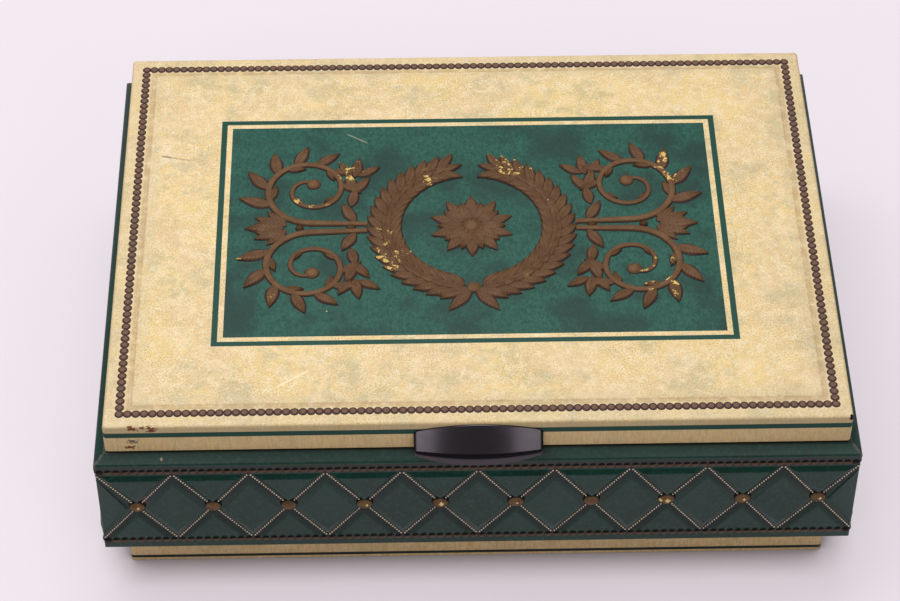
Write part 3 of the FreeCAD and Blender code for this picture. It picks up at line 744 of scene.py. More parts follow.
neck_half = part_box("liner")[1]
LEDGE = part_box("shoulder_frame")[1].z
shoulder = start_piece(
    "shoulder_slope",
    bpy.ops.mesh.primitive_plane_add,
    size=1,
    location=(0, 0, BAND_TOP),
    scale=(2 * fold_half.x, 2 * fold_half.y, 1),
)
select(shoulder, "faces", lambda face: True)
bpy.ops.mesh.inset(thickness=SHOULDER_RUN, depth=LEDGE - BAND_TOP)
bpy.ops.mesh.inset(thickness=fold_half.x - SHOULDER_RUN - neck_half.x - NECK_GAP, depth=0)
bpy.ops.mesh.delete(type="ONLY_FACE")
extend_rim(shoulder, BAND_TOP)
bpy.ops.transform.translate(value=(0, 0, -FOLD_LIP))
bevel(shoulder, lambda edge: all(
    abs(vert.co.z - BAND_TOP) < TINY for vert in edge.verts
), FOLD_ROUND, segments=5)
finish_piece(
    shoulder,
    rounding(FOLD_EDGE, segments=3, angle=28),
    ("SOLIDIFY", {"thickness": FOLD_SHEET, "offset": -1}),
)
shade(shoulder, angle=50)
MITRE_PALE = (0.115, 0.108, 0.082)
LID_FOOT_SHADE = (0.002, 0.005, 0.004)
SPECK_CREAM = (0.40, 0.28, 0.17)
SPECK_X = -101.8
SPECK_Z = 58.9
shoulder_lacquer = green_lacquer("shoulder_lacquer", gloss=0.34, roughness=0.34)
shoulder_x, shoulder_y, shoulder_z = shoulder_lacquer.split(shoulder_lacquer.place)
from_side = fold_half.x / MM - abs(shoulder_x)
from_front = fold_half.y / MM - abs(shoulder_y)
off_mitre = abs(from_side - from_front)
# Paler streaks along the mitres of the slope.
mitre_streaks = off_mitre.fall(0.3, 1.1) * shoulder_lacquer.noise(2.0).rise(0.25, 0.6)
on_slope = shoulder_z.fall(LEDGE / MM - 0.2, LEDGE / MM)
shoulder_lacquer.coat(mitre_streaks * on_slope, MITRE_PALE)
ledge_width = (fold_half.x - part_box("lid_shell")[1].x) / MM
# Painted shadow: the ledge is darkened close under the lid's skirt.
by_lid = from_side.math("MINIMUM", from_front).rise(ledge_width - 1.5, ledge_width - 0.3)
shoulder_lacquer.coat(by_lid * 0.85, LID_FOOT_SHADE)
off_speck = abs(shoulder_x - SPECK_X) + abs(shoulder_z - SPECK_Z) + shoulder_y.rise(0, 1) * 9
shoulder_lacquer.coat(off_speck.fall(0.35, 0.6), SPECK_CREAM)
shoulder_lacquer.paint(shoulder)
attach(shoulder, "case")
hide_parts("shoulder_frame")


# Hinges: two tinned steel leaves on the neck and two inside the lid, curled round headed pins of drawn
# wire and held by small rivets. The nodes have the right shape, so they only get their finish.
STEEL = (0.50, 0.49, 0.46)
STEEL_STAIN = (0.30, 0.26, 0.21)


def plain_steel(name, roughness):
    """Bright steel with drawn lines and a few grey stains."""
    finish = Finish(name, STEEL, {"Metallic": 1.0})
    lines = finish.noise(0.5, 2.0, stretch=(0.15, 1.0, 1.0))
    stains = finish.noise(3.5, 3.0).rise(0.5, 0.75)
    finish.coat(stains * 0.5, STEEL_STAIN)
    finish.show({"Roughness": roughness + lines * 0.15})
    return finish


hinge_steel = plain_steel("hinge_steel", roughness=0.28)
pin_steel = plain_steel("pin_steel", roughness=0.2)
rivet_steel = plain_steel("rivet_steel", roughness=0.25)
for side in ("left", "right"):
    paint_node(f"hinge_leaf_case_{side}", hinge_steel)
    paint_node(f"hinge_leaf_lid_{side}", hinge_steel)
    paint_node(f"hinge_pin_{side}", pin_steel)
for fasteners in ("case_hinge_rivets", "lid_hinge_rivets", "thumb_lift_screws", "thumb_lift_washers"):
    paint_node(fasteners, rivet_steel)


# Lid: one tinplate sheet drawn to a shallow flanged lid with a low raised panel, hemmed at its foot, and
# notched behind for the hinges. Outside it is printed as parchment round a green framed panel.
LID_HEIGHT = 11.5 * MM
LID_CORNER = 1.15 * MM
PANEL_INSET = 7.9 * MM
PANEL_STEPS = ((0.6, 0.06), (0.7, 0.20), (0.7, 0.22), (0.7, 0.12))
HEM_DEPTH = 0.9 * MM
HEM_RISE = 3.0 * MM
REAR_TRIM = 1.4 * MM
REAR_TRIM_START = 86.0 * MM
NOTCH_TOP = 2.85 * MM
NOTCH_MIDDLE = 70.0 * MM
NOTCH_HALF = 19.1 * MM
lid_low, lid_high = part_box("lid_shell")
SKIRT_FOOT = lid_low.z
LID_TOP = SKIRT_FOOT + LID_HEIGHT
lid = start_box("lid_skin", (-lid_high.x, -lid_high.y, SKIRT_FOOT), (lid_high.x, lid_high.y, LID_TOP))
select(lid, "faces", lambda face: face.normal.z < -0.5)
bpy.ops.mesh.delete(type="ONLY_FACE")
select(lid, "faces", lambda face: face.normal.z > 0.5)
bpy.ops.mesh.inset(thickness=PANEL_INSET, depth=0)
for width, height in PANEL_STEPS:
    bpy.ops.mesh.inset(thickness=width * MM, depth=height * MM)


def on_lid_edge(edge):
    """The four upright corners of the skirt and the four edges round the lid's top."""
    spot = middle(edge)
    at_side = abs(spot.x) > lid_high.x - TINY
    at_end = abs(spot.y) > lid_high.y - TINY
    if is_upright(edge):
        return at_side and at_end
    return (at_side or at_end) and abs(spot.z - LID_TOP) < TINY


bevel(lid, on_lid_edge, LID_CORNER, segments=4)


def in_rear_skirt(face):
    return middle(face).y > REAR_TRIM_START and abs(face.normal.z) < 0.1


def near_rear(face):
    return any(vert.co.y > REAR_TRIM_START for vert in face.verts) and abs(face.normal.z) < 0.1


cut(lid, (0, REAR_TRIM_START, 0), (0, 1, 0), near_rear)
cut(lid, (0, 0, SKIRT_FOOT + REAR_TRIM), (0, 0, 1), in_rear_skirt)
cut(lid, (0, 0, SKIRT_FOOT + NOTCH_TOP), (0, 0, 1), in_rear_skirt)
for notch in (-NOTCH_MIDDLE, NOTCH_MIDDLE):
    for side in (-NOTCH_HALF, NOTCH_HALF):
        cut(lid, (notch + side, 0, 0), (1, 0, 0), in_rear_skirt)


def cut_away(face):
    spot = middle(face)
    in_notch = abs(abs(spot.x) - NOTCH_MIDDLE) < NOTCH_HALF and spot.z < SKIRT_FOOT + NOTCH_TOP
    return in_rear_skirt(face) and (spot.z < SKIRT_FOOT + REAR_TRIM or in_notch)


select(lid, "faces", cut_away)
bpy.ops.mesh.delete(type="FACE")
extend_rim(lid, SKIRT_FOOT)
bpy.ops.transform.resize(value=(1 - HEM_DEPTH / lid_high.x, 1 - HEM_DEPTH / lid_high.y, 1))
bpy.ops.mesh.extrude_edges_move()
bpy.ops.transform.translate(value=(0, 0, HEM_RISE))

STRIPE_LOW = 66.9
STRIPE_HIGH = 69.1
FRAME_HALF = (86.6, 54.0)
FRAME_LINE = 2.0
FRAME_GAP = 1.85
FIELD_GREEN = (0.017, 0.074, 0.053)
FIELD_LIGHT = (0.036, 0.126, 0.096)
FIELD_DARK = (0.020, 0.048, 0.039)
FIELD_CHIP = (0.70, 0.62, 0.42)
RIM_GREY = (0.67, 0.56, 0.36)
SKIRT_CREAM = (0.78, 0.53, 0.24)
SKIRT_GREY = (0.45, 0.38, 0.23)
DIRT_AND_SHADE_BROWN = (0.45, 0.28, 0.13)
RUST = (0.20, 0.052, 0.02)
HOLE_BLACK = (0.006, 0.005, 0.005)
HOLE = (lid_high.x / MM - 0.7, 0.7 - lid_high.y / MM, LID_TOP / MM - 1.0)
SCUFF_GREY = (0.17, 0.15, 0.095)
SPOTS = (
    (-110.2, 71.0, 2.6, 1.1, RUST),
    (-107.4, 71.3, 1.4, 0.6, RUST),
    (-104.2, 70.6, 2.0, 1.5, RUST),
    (-110.6, 65.0, 2.6, 1.3, SCUFF_GREY),
    (-111.4, 62.4, 2.4, 1.0, RUST),
)
SCRATCH_PALE = (0.98, 0.86, 0.60)
SCRATCH_BROWN = (0.24, 0.12, 0.05)
SCRATCH_FIELD = (0.42, 0.38, 0.25)
SCRATCHES = (
    ((-107.6, 36.8), (-95.8, 33.9), 0.35, SCRATCH_BROWN, 0.5),
    ((-107.4, 36.7), (-103.6, 35.9), 0.55, SCRATCH_BROWN, 0.6),
    ((-66.0, -73.2), (-53.5, -64.5), 0.45, SCRATCH_PALE, 0.7),
    ((-43.2, 47.0), (-34.8, 41.6), 0.40, SCRATCH_FIELD, 0.5),
)
lid_print = Finish("lid_print", CREAM, {"IOR": 1.45, "Specular IOR Level": 0.18})
lid_x, lid_y, lid_z = lid_print.split(lid_print.place)
lid_fibres, lid_grain = parchment(lid_print)
from_edge = (lid_high.x / MM - abs(lid_x)).math("MINIMUM", lid_high.y / MM - abs(lid_y))
on_top = lid_z.rise(LID_TOP / MM - 0.5, LID_TOP / MM - 0.2)
dirt_and_shade_noise = lid_print.noise(4.0, 3.0, 0.6)
on_rim = from_edge.fall(10.5, 14.0) * on_top
lid_print.coat(on_rim * 0.28, RIM_GREY)
# Dirt and painted shade: a brown band round the foot of the raised panel's step and a line on its slope.
dirt_and_shade_band = from_edge.between(7.2, 9.0, 0.6) * dirt_and_shade_noise.rise(0.28, 0.58) * 0.5
dirt_and_shade_line = from_edge.between(8.7, 9.2, 0.3) * dirt_and_shade_noise.rise(0.20, 0.60) * 0.34
lid_print.coat((dirt_and_shade_band + dirt_and_shade_line) * on_top, DIRT_AND_SHADE_BROWN)
rim_specks = lid_print.noise(0.8, 3.0, 0.7).rise(0.54, 0.66) * dirt_and_shade_noise.rise(0.35, 0.65)
lid_print.coat(rim_specks * on_rim * 0.5, DIRT_AND_SHADE_BROWN)
skirt_streaks = lid_print.noise(0.8, 3.0, 0.6, stretch=(1.0, 1.0, 0.15))
lid_print.coat((1 - on_top) * 0.55, SKIRT_CREAM)
lid_print.coat(skirt_streaks.rise(0.46, 0.66) * (1 - on_top) * 0.35, SKIRT_GREY)
lid_print.coat(lid_z.between(STRIPE_HIGH, LID_TOP / MM - 0.5, 0.3) * 0.42, SKIRT_GREY)
in_frame = (FRAME_HALF[0] - abs(lid_x)).math("MINIMUM", FRAME_HALF[1] - abs(lid_y))
frame_line = in_frame.between(0.0, FRAME_LINE, PRINT_EDGE)
field_edge = FRAME_LINE + FRAME_GAP
in_field = in_frame.rise(field_edge - PRINT_EDGE, field_edge + PRINT_EDGE)
leather = lid_print.noise(0.9, 3.0, 0.7, 0.8, stretch=(1.0, 0.6, 1.0))
leather_clouds = lid_print.noise(16.0, 3.0)
field = lid_print.mix(leather.rise(0.34, 0.66), FIELD_GREEN, FIELD_LIGHT)
field = lid_print.mix(leather_clouds.rise(0.42, 0.66) * 0.75, field, FIELD_DARK)
field_chips = lid_print.cells(9.0).fall(0.022, 0.034)
chip_spread = lid_print.noise(30.0, 1.0).rise(0.5, 0.6)
field = lid_print.mix(field_chips * chip_spread, field, FIELD_CHIP)
lid_print.coat(frame_line * on_top, FIELD_GREEN)
lid_print.coat(in_field * on_top, field)
lid_print.coat(lid_z.between(STRIPE_LOW, STRIPE_HIGH, PRINT_EDGE), PRINT_GREEN)
front_skirt = lid_y.fall(-lid_high.y / MM + 0.4, -lid_high.y / MM + 1.2)
ragged = lid_print.noise(1.1, 3.0, 0.7) - 0.5
for spot_x, spot_z, spot_long, spot_tall, ink in SPOTS:
    off_spot = (abs(lid_x - spot_x) / spot_long).math("MAXIMUM", abs(lid_z - spot_z) / spot_tall)
    spot = (off_spot + ragged * 3.4).fall(0.40, 0.70)
    lid_print.coat(spot * front_skirt, ink)
for (from_x, from_y), (to_x, to_y), half_width, ink, share in SCRATCHES:
    run = Vector((to_x - from_x, to_y - from_y))
    past_x = lid_x - (from_x + to_x) / 2
    past_y = lid_y - (from_y + to_y) / 2
    heading = run.normalized()
    along = abs(past_x * heading.x + past_y * heading.y)
    aside = abs(past_y * heading.x - past_x * heading.y) + ragged * 0.25
    scratch = aside.fall(half_width * 0.5, half_width)
    within = along.fall(run.length * 0.3, run.length * 0.5)
    lid_print.coat(scratch * within * on_top * share, ink)
off_hole = abs(lid_x - HOLE[0]) + abs(lid_y - HOLE[1]) + abs(lid_z - HOLE[2])
lid_print.coat(off_hole.fall(1.3, 1.7), HOLE_BLACK)
lid_print.show({
    "Roughness": 0.40 + lid_grain * 0.14,
    "Normal": lid_print.bump(lid_fibres + lid_grain + leather * in_field, 0.016),
})
paint_sheet(lid, lid_print, bare_tin("lid_inside", roughness=0.28)[0])
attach(lid, "lid")
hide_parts("lid_shell")


# Lid beads: one row of flat round beads pressed round the rim of the lid, one at each corner, printed
# mauve-brown with a dark outline.
SIDE_INSET = 5.25
FRONT_INSET = 5.6
BORDER_PROUD = 0.32
BORDER_OVERLAP = 1.12
ROW_BEAD = (3.2, 2.68)
COLUMN_BEAD = (3.05, 2.74)
border_x = lid_high.x / MM - SIDE_INSET
border_y = lid_high.y / MM - FRONT_INSET
row_runs = ((-border_x, -border_y, 2 * border_x, 0), (border_x, border_y, -2 * border_x, 0))
column_runs = ((border_x, -border_y, 0, 2 * border_y), (-border_x, border_y, 0, -2 * border_y))
borders = []
for name, (across, pitch), runs in (("row", ROW_BEAD, row_runs), ("column", COLUMN_BEAD, column_runs)):
    long = pitch * BORDER_OVERLAP
    lid_bead = half_bead(f"lid_bead_{name}", across, long, BORDER_PROUD, segments=16, rings=8)
    bead_spots = []
    for start_x, start_y, run_x, run_y in runs:
        count = round(math.hypot(run_x, run_y) / pitch)
        heading = math.degrees(math.atan2(run_y, run_x))
        for i in range(count):
            spot = Vector((start_x + run_x * i / count, start_y + run_y * i / count, LID_TOP / MM)) * MM
            bead_spots.append(Matrix.Translation(spot) @ flat_turn(heading))
    borders.append(lay(lid_bead, f"lid_beads_{name}", bead_spots, angle=60))
    put_away(lid_bead)
BORDER_FILL = (0.194, 0.108, 0.068)
BORDER_WORN = (0.16, 0.095, 0.078)
BORDER_OUTLINE = (0.066, 0.040, 0.038)
border_print = Finish("border_print", BORDER_FILL, {"Roughness": 0.55, "Specular IOR Level": 0.08})
border_height = border_print.unwrapped()[1]
border_wear = border_print.noise(1.6, 3.0)
border_print.coat(border_wear.rise(0.40, 0.75) * 0.6, BORDER_WORN)
border_print.coat(border_height.fall(0.74, 0.84), BORDER_OUTLINE)
for border in borders:
    border_print.paint(border)
    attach(border, "lid")


# Relief: a leaf wreath with a rosette in it and leafy scrolls to both sides, pressed up from the green
# panel in low relief and printed bronze. Worn high points show gold.
PANEL_TOP = LID_TOP + sum(height for width, height in PANEL_STEPS) * MM
LEAF_PROUD = 1.05
LEAF_SLIM = 0.48
LEAF_SINK = 0.3
GRID_NEAR = 1e-4
LEAF_ROWS = ((1.0, 0.10), (0.86, 0.14), (0.68, 0.74), (0.24, 1.0), (0.0, 0.74))
LEAF_WIDTHS = (0.16, 0.60, 0.88, 1.0, 0.98, 0.86, 0.66, 0.38, 0.03)
LEAF_RISES = (0.50, 0.62, 0.74, 0.84, 0.92, 0.98, 1.0, 0.92, 0.60)
WREATH_RADIUS = 29.0
WREATH_START = -84.0
WREATH_STEP = 8.0
WREATH_SPRAYS = 20
WREATH_SPRAY = ((0.8, 56, 9.4, 1.0, 1.0), (-0.8, 128, 8.4, 1.0, 1.0), (0.0, 92, 8.6, 0.95, 1.1))
KNOT_FOOT = (0.8, -WREATH_RADIUS - 0.8)
KNOT_LEAVES = ((-14, 11.5, 0.95, 0.9), (-52, 12.5, 0.85, 0.75))
PETALS = 10
PETAL_RINGS = ((18, 3.0, 11.5, 1.05, 0.8), (0, 2.0, 9.6, 1.25, 1.05))
SCROLL_CENTRE = Vector((55.0, 18.5))
SCROLL_RADIUS = 16.3
SCROLL_EYE = 3.0
SCROLL_SWEEP = 560
STEM_START = Vector((35.5, 1.6))
STEM_RADIUS = 1.25
STEM_POINTS = 60
STEM_FLAT = 0.72
STEM_SINK = 0.1 * MM
RELIEF_SMOOTH = 35


def new_leaf():
    """One leaf a unit long, from foot to tip: a flat rim, a steep side and two swelling halves."""
    steps = len(LEAF_WIDTHS) - 1
    model = start_piece(
        "leaf_model",
        bpy.ops.mesh.primitive_grid_add,
        x_subdivisions=steps,
        y_subdivisions=steps,
        size=1,
        location=(0.5, 0, 0),
    )
    for i, (across, rise) in enumerate(LEAF_ROWS):
        line = 0.5 - i / steps
        select(model, "verts", lambda vert: abs(abs(vert.co.y) - line) < GRID_NEAR)
        bpy.ops.transform.translate(value=(0, 0, rise))
        if line > 0:
            narrow = across * LEAF_SLIM / 2 / line
            bpy.ops.transform.resize(value=(1, narrow, 1), center_override=(0.5, 0, rise))
    for i, (wide, rise) in enumerate(zip(LEAF_WIDTHS, LEAF_RISES)):
        select(model, "verts", lambda vert: abs(vert.co.x - i / steps) < GRID_NEAR)
        bpy.ops.transform.resize(value=(1, wide, rise), center_override=(i / steps, 0, 0))
    select(model, "edges", lambda edge: edge.is_boundary)
    bpy.ops.mesh.extrude_edges_move()
    bpy.ops.transform.translate(value=(0, 0, -LEAF_SINK))
    select(model, "edges", lambda edge: edge.is_boundary)
    bpy.ops.mesh.edge_face_add()
    return finish_piece(model)


def leaf_at(spot, heading, length, wide=1.0, proud=LEAF_PROUD):
    """Where a leaf goes: its foot, the way it points, its length in millimetres and how broad it is."""
    place = Matrix.Translation((spot[0] * MM, spot[1] * MM, PANEL_TOP))
    scale = Matrix.Diagonal((length * MM, length * wide * MM, proud * MM, 1))
    return place @ flat_turn(heading) @ scale


def round_spot(degrees, radius, centre=Vector((0, 0))):
    turn = math.radians(degrees)
    return centre + Vector((math.cos(turn), math.sin(turn))) * radius


def mirrored(matrices, four_ways):
    """Each place, with its mirror image to the left or, four ways, one in each quarter of the panel."""
    images = [Matrix.Identity(4), Matrix.Diagonal((-1, 1, 1, 1))]
    if four_ways:
        images += [Matrix.Diagonal((1, -1, 1, 1)) @ image for image in images]
    return [image @ matrix for image in images for matrix in matrices]


leaf = new_leaf()
berry = half_bead("berry_model", 1.0 / MM, 1.0 / MM, 1.0 / MM, segments=12, rings=6)

wreath_half = []
for i in range(WREATH_SPRAYS):
    bearing = WREATH_START + i * WREATH_STEP
    for out, turn, length, wide, proud in WREATH_SPRAY:
        foot = round_spot(bearing, WREATH_RADIUS + out)
        wreath_half.append(leaf_at(foot, bearing + turn, length, wide, LEAF_PROUD * proud))
for knot_leaf in KNOT_LEAVES:
    wreath_half.append(leaf_at(KNOT_FOOT, *knot_leaf))
wreath = lay(leaf, "lid_wreath", mirrored(wreath_half, four_ways=False), RELIEF_SMOOTH)

rosette_places = []
for i in range(PETALS):
    for turn, out, length, wide, proud in PETAL_RINGS:
        bearing = i * 360 / PETALS + turn
        rosette_places.append(leaf_at(round_spot(bearing, out), bearing, length, wide, LEAF_PROUD * proud))
rosette = lay(leaf, "lid_rosette", rosette_places, RELIEF_SMOOTH)


def scroll_point(share):
    """A point of the scroll, from where it leaves the stem at 0 to its eye at 1, with its tangent."""
    bearing = -90 + SCROLL_SWEEP * share
    radius = SCROLL_RADIUS * (1 - share) ** 0.9 + SCROLL_EYE * share
    return round_spot(bearing, radius, SCROLL_CENTRE), bearing + 90


def new_stem():
    """A tapering round stem from the wreath along the middle line and round into the scroll's eye."""
    curve = bpy.data.curves.new("stem_model", "CURVE")
    curve.dimensions = "3D"
    curve.bevel_depth = STEM_RADIUS * MM
    curve.bevel_resolution = 2
    curve.use_fill_caps = True
    shares = [i / STEM_POINTS for i in range(STEM_POINTS + 1)]
    points = [STEM_START] + [scroll_point(share)[0] for share in shares]
    widths = [0.9] + [1.15 - 0.5 * share for share in shares]
    spline = curve.splines.new("POLY")
    spline.points.add(len(points) - 1)
    for spline_point, point, width in zip(spline.points, points, widths):
        spline_point.co = (point.x * MM, point.y * MM, PANEL_TOP, 1)
        spline_point.radius = width
    stem = bpy.data.objects.new("stem_model", curve)
    bpy.context.collection.objects.link(stem)
    make_active(stem)
    bpy.ops.object.convert(target="MESH")
    bpy.ops.object.mode_set(mode="EDIT")
    cut(stem, (0, 0, PANEL_TOP - STEM_SINK), (0, 0, 1), clear_inner=True, use_fill=True)
    finish_piece(stem)
    stem.data.transform(Matrix.Translation((0, 0, PANEL_TOP)) @ Matrix.Diagonal((1, 1, STEM_FLAT, 1))
                        @ Matrix.Translation((0, 0, -PANEL_TOP)))
    return stem


stem = new_stem()
stems = lay(stem, "lid_stems", mirrored([Matrix.Identity(4)], four_ways=True), RELIEF_SMOOTH)
put_away(stem)

OUTER_LEAVES = (
    (-62, 11.5), (-30, 12.0), (2, 11.5), (34, 11.0), (66, 10.5), (98, 10.0), (130, 9.5), (165, 8.5),
)
INNER_LEAVES = ((-20, 7.5), (50, 7.0), (120, 6.5), (200, 5.5), (290, 4.5))
SPRIG_LEAVES = (
    (39.5, 2.5, 62, 10.0), (41.0, 10.0, 100, 9.0), (40.0, 17.5, 75, 9.5), (40.2, 17.0, 128, 9.0),
    (39.8, 24.5, 100, 9.5), (38.5, 25.0, 150, 8.5), (41.0, 25.0, 58, 8.0),
)
FAN_FOOT = (63.0, 1.2)
FAN_LEAVES = ((20, 11.5, 0.9, 0.95), (46, 9.5, 0.9, 0.8))
branch = []
for leaves, lean in ((OUTER_LEAVES, -42), (INNER_LEAVES, 40)):
    for bearing, length in leaves:
        spot, heading = scroll_point((bearing + 90) / SCROLL_SWEEP)
        branch.append(leaf_at(spot, heading + lean, length, 0.95))
for x, y, heading, length in SPRIG_LEAVES:
    branch.append(leaf_at((x, y), heading, length))
for fan_leaf in FAN_LEAVES:
    branch.append(leaf_at(FAN_FOOT, *fan_leaf))
branches = lay(leaf, "lid_branches", mirrored(branch, four_ways=True), RELIEF_SMOOTH)
tip_leaf = leaf_at((64.0, 0), 0, 13.0, 0.9, LEAF_PROUD * 1.1)
tips = lay(leaf, "lid_tips", mirrored([tip_leaf], four_ways=False), RELIEF_SMOOTH)


def berry_at(x, y, across, proud=LEAF_PROUD, lift=0.0):
    """Where a berry goes: its place, its width, its height and how far it is lifted, in millimetres."""
    place = Matrix.Translation((x * MM, y * MM, PANEL_TOP + lift * MM))
    return place @ Matrix.Diagonal((across * MM, across * MM, proud * MM, 1))


scroll_eye = scroll_point(1.0)[0]
berry_places = mirrored(
    [berry_at(*scroll_eye, 5.2), berry_at(41.0, 0.0, 3.4), berry_at(58.5, 0.0, 3.0)], four_ways=True
)
for bearing in range(0, 360, 30):
    berry_places.append(berry_at(*round_spot(bearing, 3.6), 1.7, 0.9, 0.2))
berry_places.append(berry_at(0, 0, 6.0, 1.18))
berry_places.append(berry_at(0, -WREATH_RADIUS, 5.0, 1.15))
berries = lay(berry, "lid_berries", berry_places, RELIEF_SMOOTH)
put_away(leaf)
put_away(berry)

BRONZE = (0.138, 0.068, 0.029)
BRONZE_LIGHT = (0.185, 0.098, 0.045)
PLUM = (0.036, 0.020, 0.026)
WORN_GOLD = (0.78, 0.54, 0.17)
RELIEF_SPECK = (0.75, 0.66, 0.50)
VEINS_PER_LEAF = 9


def relief_print(name, veined):
    """Matt bronze print with plum outlines and painted plum shadow round its foot, worn to gold in spots;
    leaves have side veins.
    """
    finish = Finish(name, BRONZE, {"Specular IOR Level": 0.15})
    height = finish.split(finish.place)[2] - PANEL_TOP / MM
    clouds = finish.noise(4.5, 3.0)
    grain = finish.noise(0.6, 3.0)
    finish.coat(height.rise(0.5, 1.0) * clouds.rise(0.35, 0.65), BRONZE_LIGHT)
    finish.coat(grain.rise(0.5, 0.75) * 0.35, PLUM)
    pressed = grain
    if veined:
        leaf_u, leaf_v = finish.unwrapped()
        off_vein = abs(leaf_v - 0.5) * 2
        line = abs(((leaf_u - off_vein * 0.22) * VEINS_PER_LEAF).math("FRACT") - 0.5)
        veins = line.fall(0.06, 0.18) * off_vein.between(0.08, 0.70, 0.06)
        finish.coat(veins * 0.5, PLUM)
        finish.coat(off_vein.rise(0.66, 0.78), PLUM)
        pressed = grain - veins
    # Printed outline and painted shadow: plum over the lowest parts, round the relief's foot.
    finish.coat(height.fall(0.12, 0.42), PLUM)
    wear = finish.noise(2.2, 4.0, 0.7).rise(0.56, 0.60)
    wear_spread = finish.noise(19.0, 1.0).rise(0.62, 0.66)
    finish.coat(wear * wear_spread * height.rise(0.45, 0.6), WORN_GOLD)
    specks = finish.cells(7.0).fall(0.03, 0.05)
    finish.coat(specks * finish.noise(23.0, 1.0).rise(0.5, 0.6), RELIEF_SPECK)
    finish.show({"Roughness": 0.58 - clouds * 0.1, "Normal": finish.bump(pressed, 0.03)})
    return finish


leaf_bronze = relief_print("leaf_bronze", veined=True)
stem_bronze = relief_print("stem_bronze", veined=False)
for piece, bronze in (
    (wreath, leaf_bronze), (rosette, leaf_bronze), (branches, leaf_bronze), (tips, leaf_bronze),
    (stems, stem_bronze), (berries, stem_bronze),
):
    bronze.paint(piece)
    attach(piece, "lid")


# Thumb lift: a black moulded wedge with a bowed face, a blunt nose and a curved lip, drawn in towards
# its ends and held to the front skirt by two screws from inside.
LIFT_HALF = 20.8 * MM
LIFT_CORNER = 1.3 * MM
LIFT_COLUMNS = 12
LIFT_GAP = 0.05 * MM
LIFT_BACK = -lid_high.y - LIFT_GAP
LIFT_FRONT = -95.4 * MM
LIFT_CREST = 71.0 * MM
LIFT_BROW = 63.75 * MM
LIFT_NOSE = 62.25 * MM
LIFT_FOOT = 59.4 * MM
BROW_BOW = 2.0 * MM
NOSE_BOW = 2.3 * MM
CREST_EDGE = 0.5 * MM
CREST_DROP = 2.7 * MM
CREST_TIP_DROP = 0.9 * MM
BROW_SETBACK = 0.75 * MM
BROW_DROP = 0.1 * MM
BROW_TIP_RISE = 0.4 * MM
NOSE_RISE = 0.5 * MM
NOSE_TIP_RISE = 0.3 * MM
FOOT_SETBACK = 0.05 * MM
FOOT_RISE = 2.4 * MM
BACK_FOOT_RISE = 1.25 * MM
NOSE_ROUND = 0.3 * MM
END_ROUND = 0.6 * MM
CREST_ROUND = 0.2 * MM
END_SPAN = 3 * MM
WELD_GAP = 0.002 * MM
lift = start_box("thumb_wedge", (-LIFT_HALF, LIFT_FRONT, LIFT_FOOT), (LIFT_HALF, LIFT_BACK, LIFT_CREST))
for level in (LIFT_NOSE, LIFT_BROW):
    cut(lift, (0, 0, level), (0, 0, 1))
columns = [(2 * i / LIFT_COLUMNS - 1) * LIFT_HALF for i in range(LIFT_COLUMNS + 1)]
columns += [LIFT_CORNER - LIFT_HALF, LIFT_HALF - LIFT_CORNER]
for column in columns:
    if abs(column) < LIFT_HALF - TINY:
        cut(lift, (column, 0, 0), (1, 0, 0))
for column in columns:
    bend = (column / LIFT_HALF) ** 2
    tip = 1 if abs(column) > LIFT_HALF - TINY else 0
    crest_back = LIFT_BACK - CREST_EDGE - LIFT_FRONT
    crest_shift = -CREST_DROP * bend - CREST_TIP_DROP * tip
    tip_rise = NOSE_TIP_RISE * tip
    for row_y, row_z, shift_y, shift_z in (
        (LIFT_FRONT, LIFT_CREST, crest_back, crest_shift),
        (LIFT_BACK, LIFT_CREST, 0, crest_shift),
        (LIFT_FRONT, LIFT_BROW, BROW_SETBACK + bend * BROW_BOW, BROW_TIP_RISE * tip - BROW_DROP * bend),
        (LIFT_FRONT, LIFT_NOSE, bend * NOSE_BOW, NOSE_RISE * bend + tip_rise),
        (LIFT_FRONT, LIFT_FOOT, FOOT_SETBACK + bend * NOSE_BOW, FOOT_RISE * bend + tip_rise),
        (LIFT_BACK, LIFT_FOOT, 0, BACK_FOOT_RISE),
    ):
        row = Vector((column, row_y, row_z))
        select(lift, "verts", lambda vert: (vert.co - row).length < TINY)
        bpy.ops.transform.translate(value=(0, shift_y, shift_z))


def at_lift_end(edge):
    return all(abs(vert.co.x) > LIFT_HALF - TINY for vert in edge.verts)


def on_end_outline(edge):
    return at_lift_end(edge) and all(vert.co.y < LIFT_BACK - TINY for vert in edge.verts)


def spans_end(edge):
    """An edge across an end, from the front to the back, at the height of the nose."""
    across = abs(edge.verts[0].co.y - edge.verts[1].co.y) > END_SPAN
    return at_lift_end(edge) and across and LIFT_NOSE - MM < middle(edge).z < LIFT_BROW + MM


def along_front(edge):
    """The edges of the brow and of the nose."""
    spot = middle(edge)
    level = LIFT_NOSE - MM < spot.z < LIFT_BROW + MM
    run = edge.verts[0].co - edge.verts[1].co
    return level and spot.y < LIFT_BACK - END_SPAN and abs(run.x) > abs(run.z) and abs(run.x) > abs(run.y)


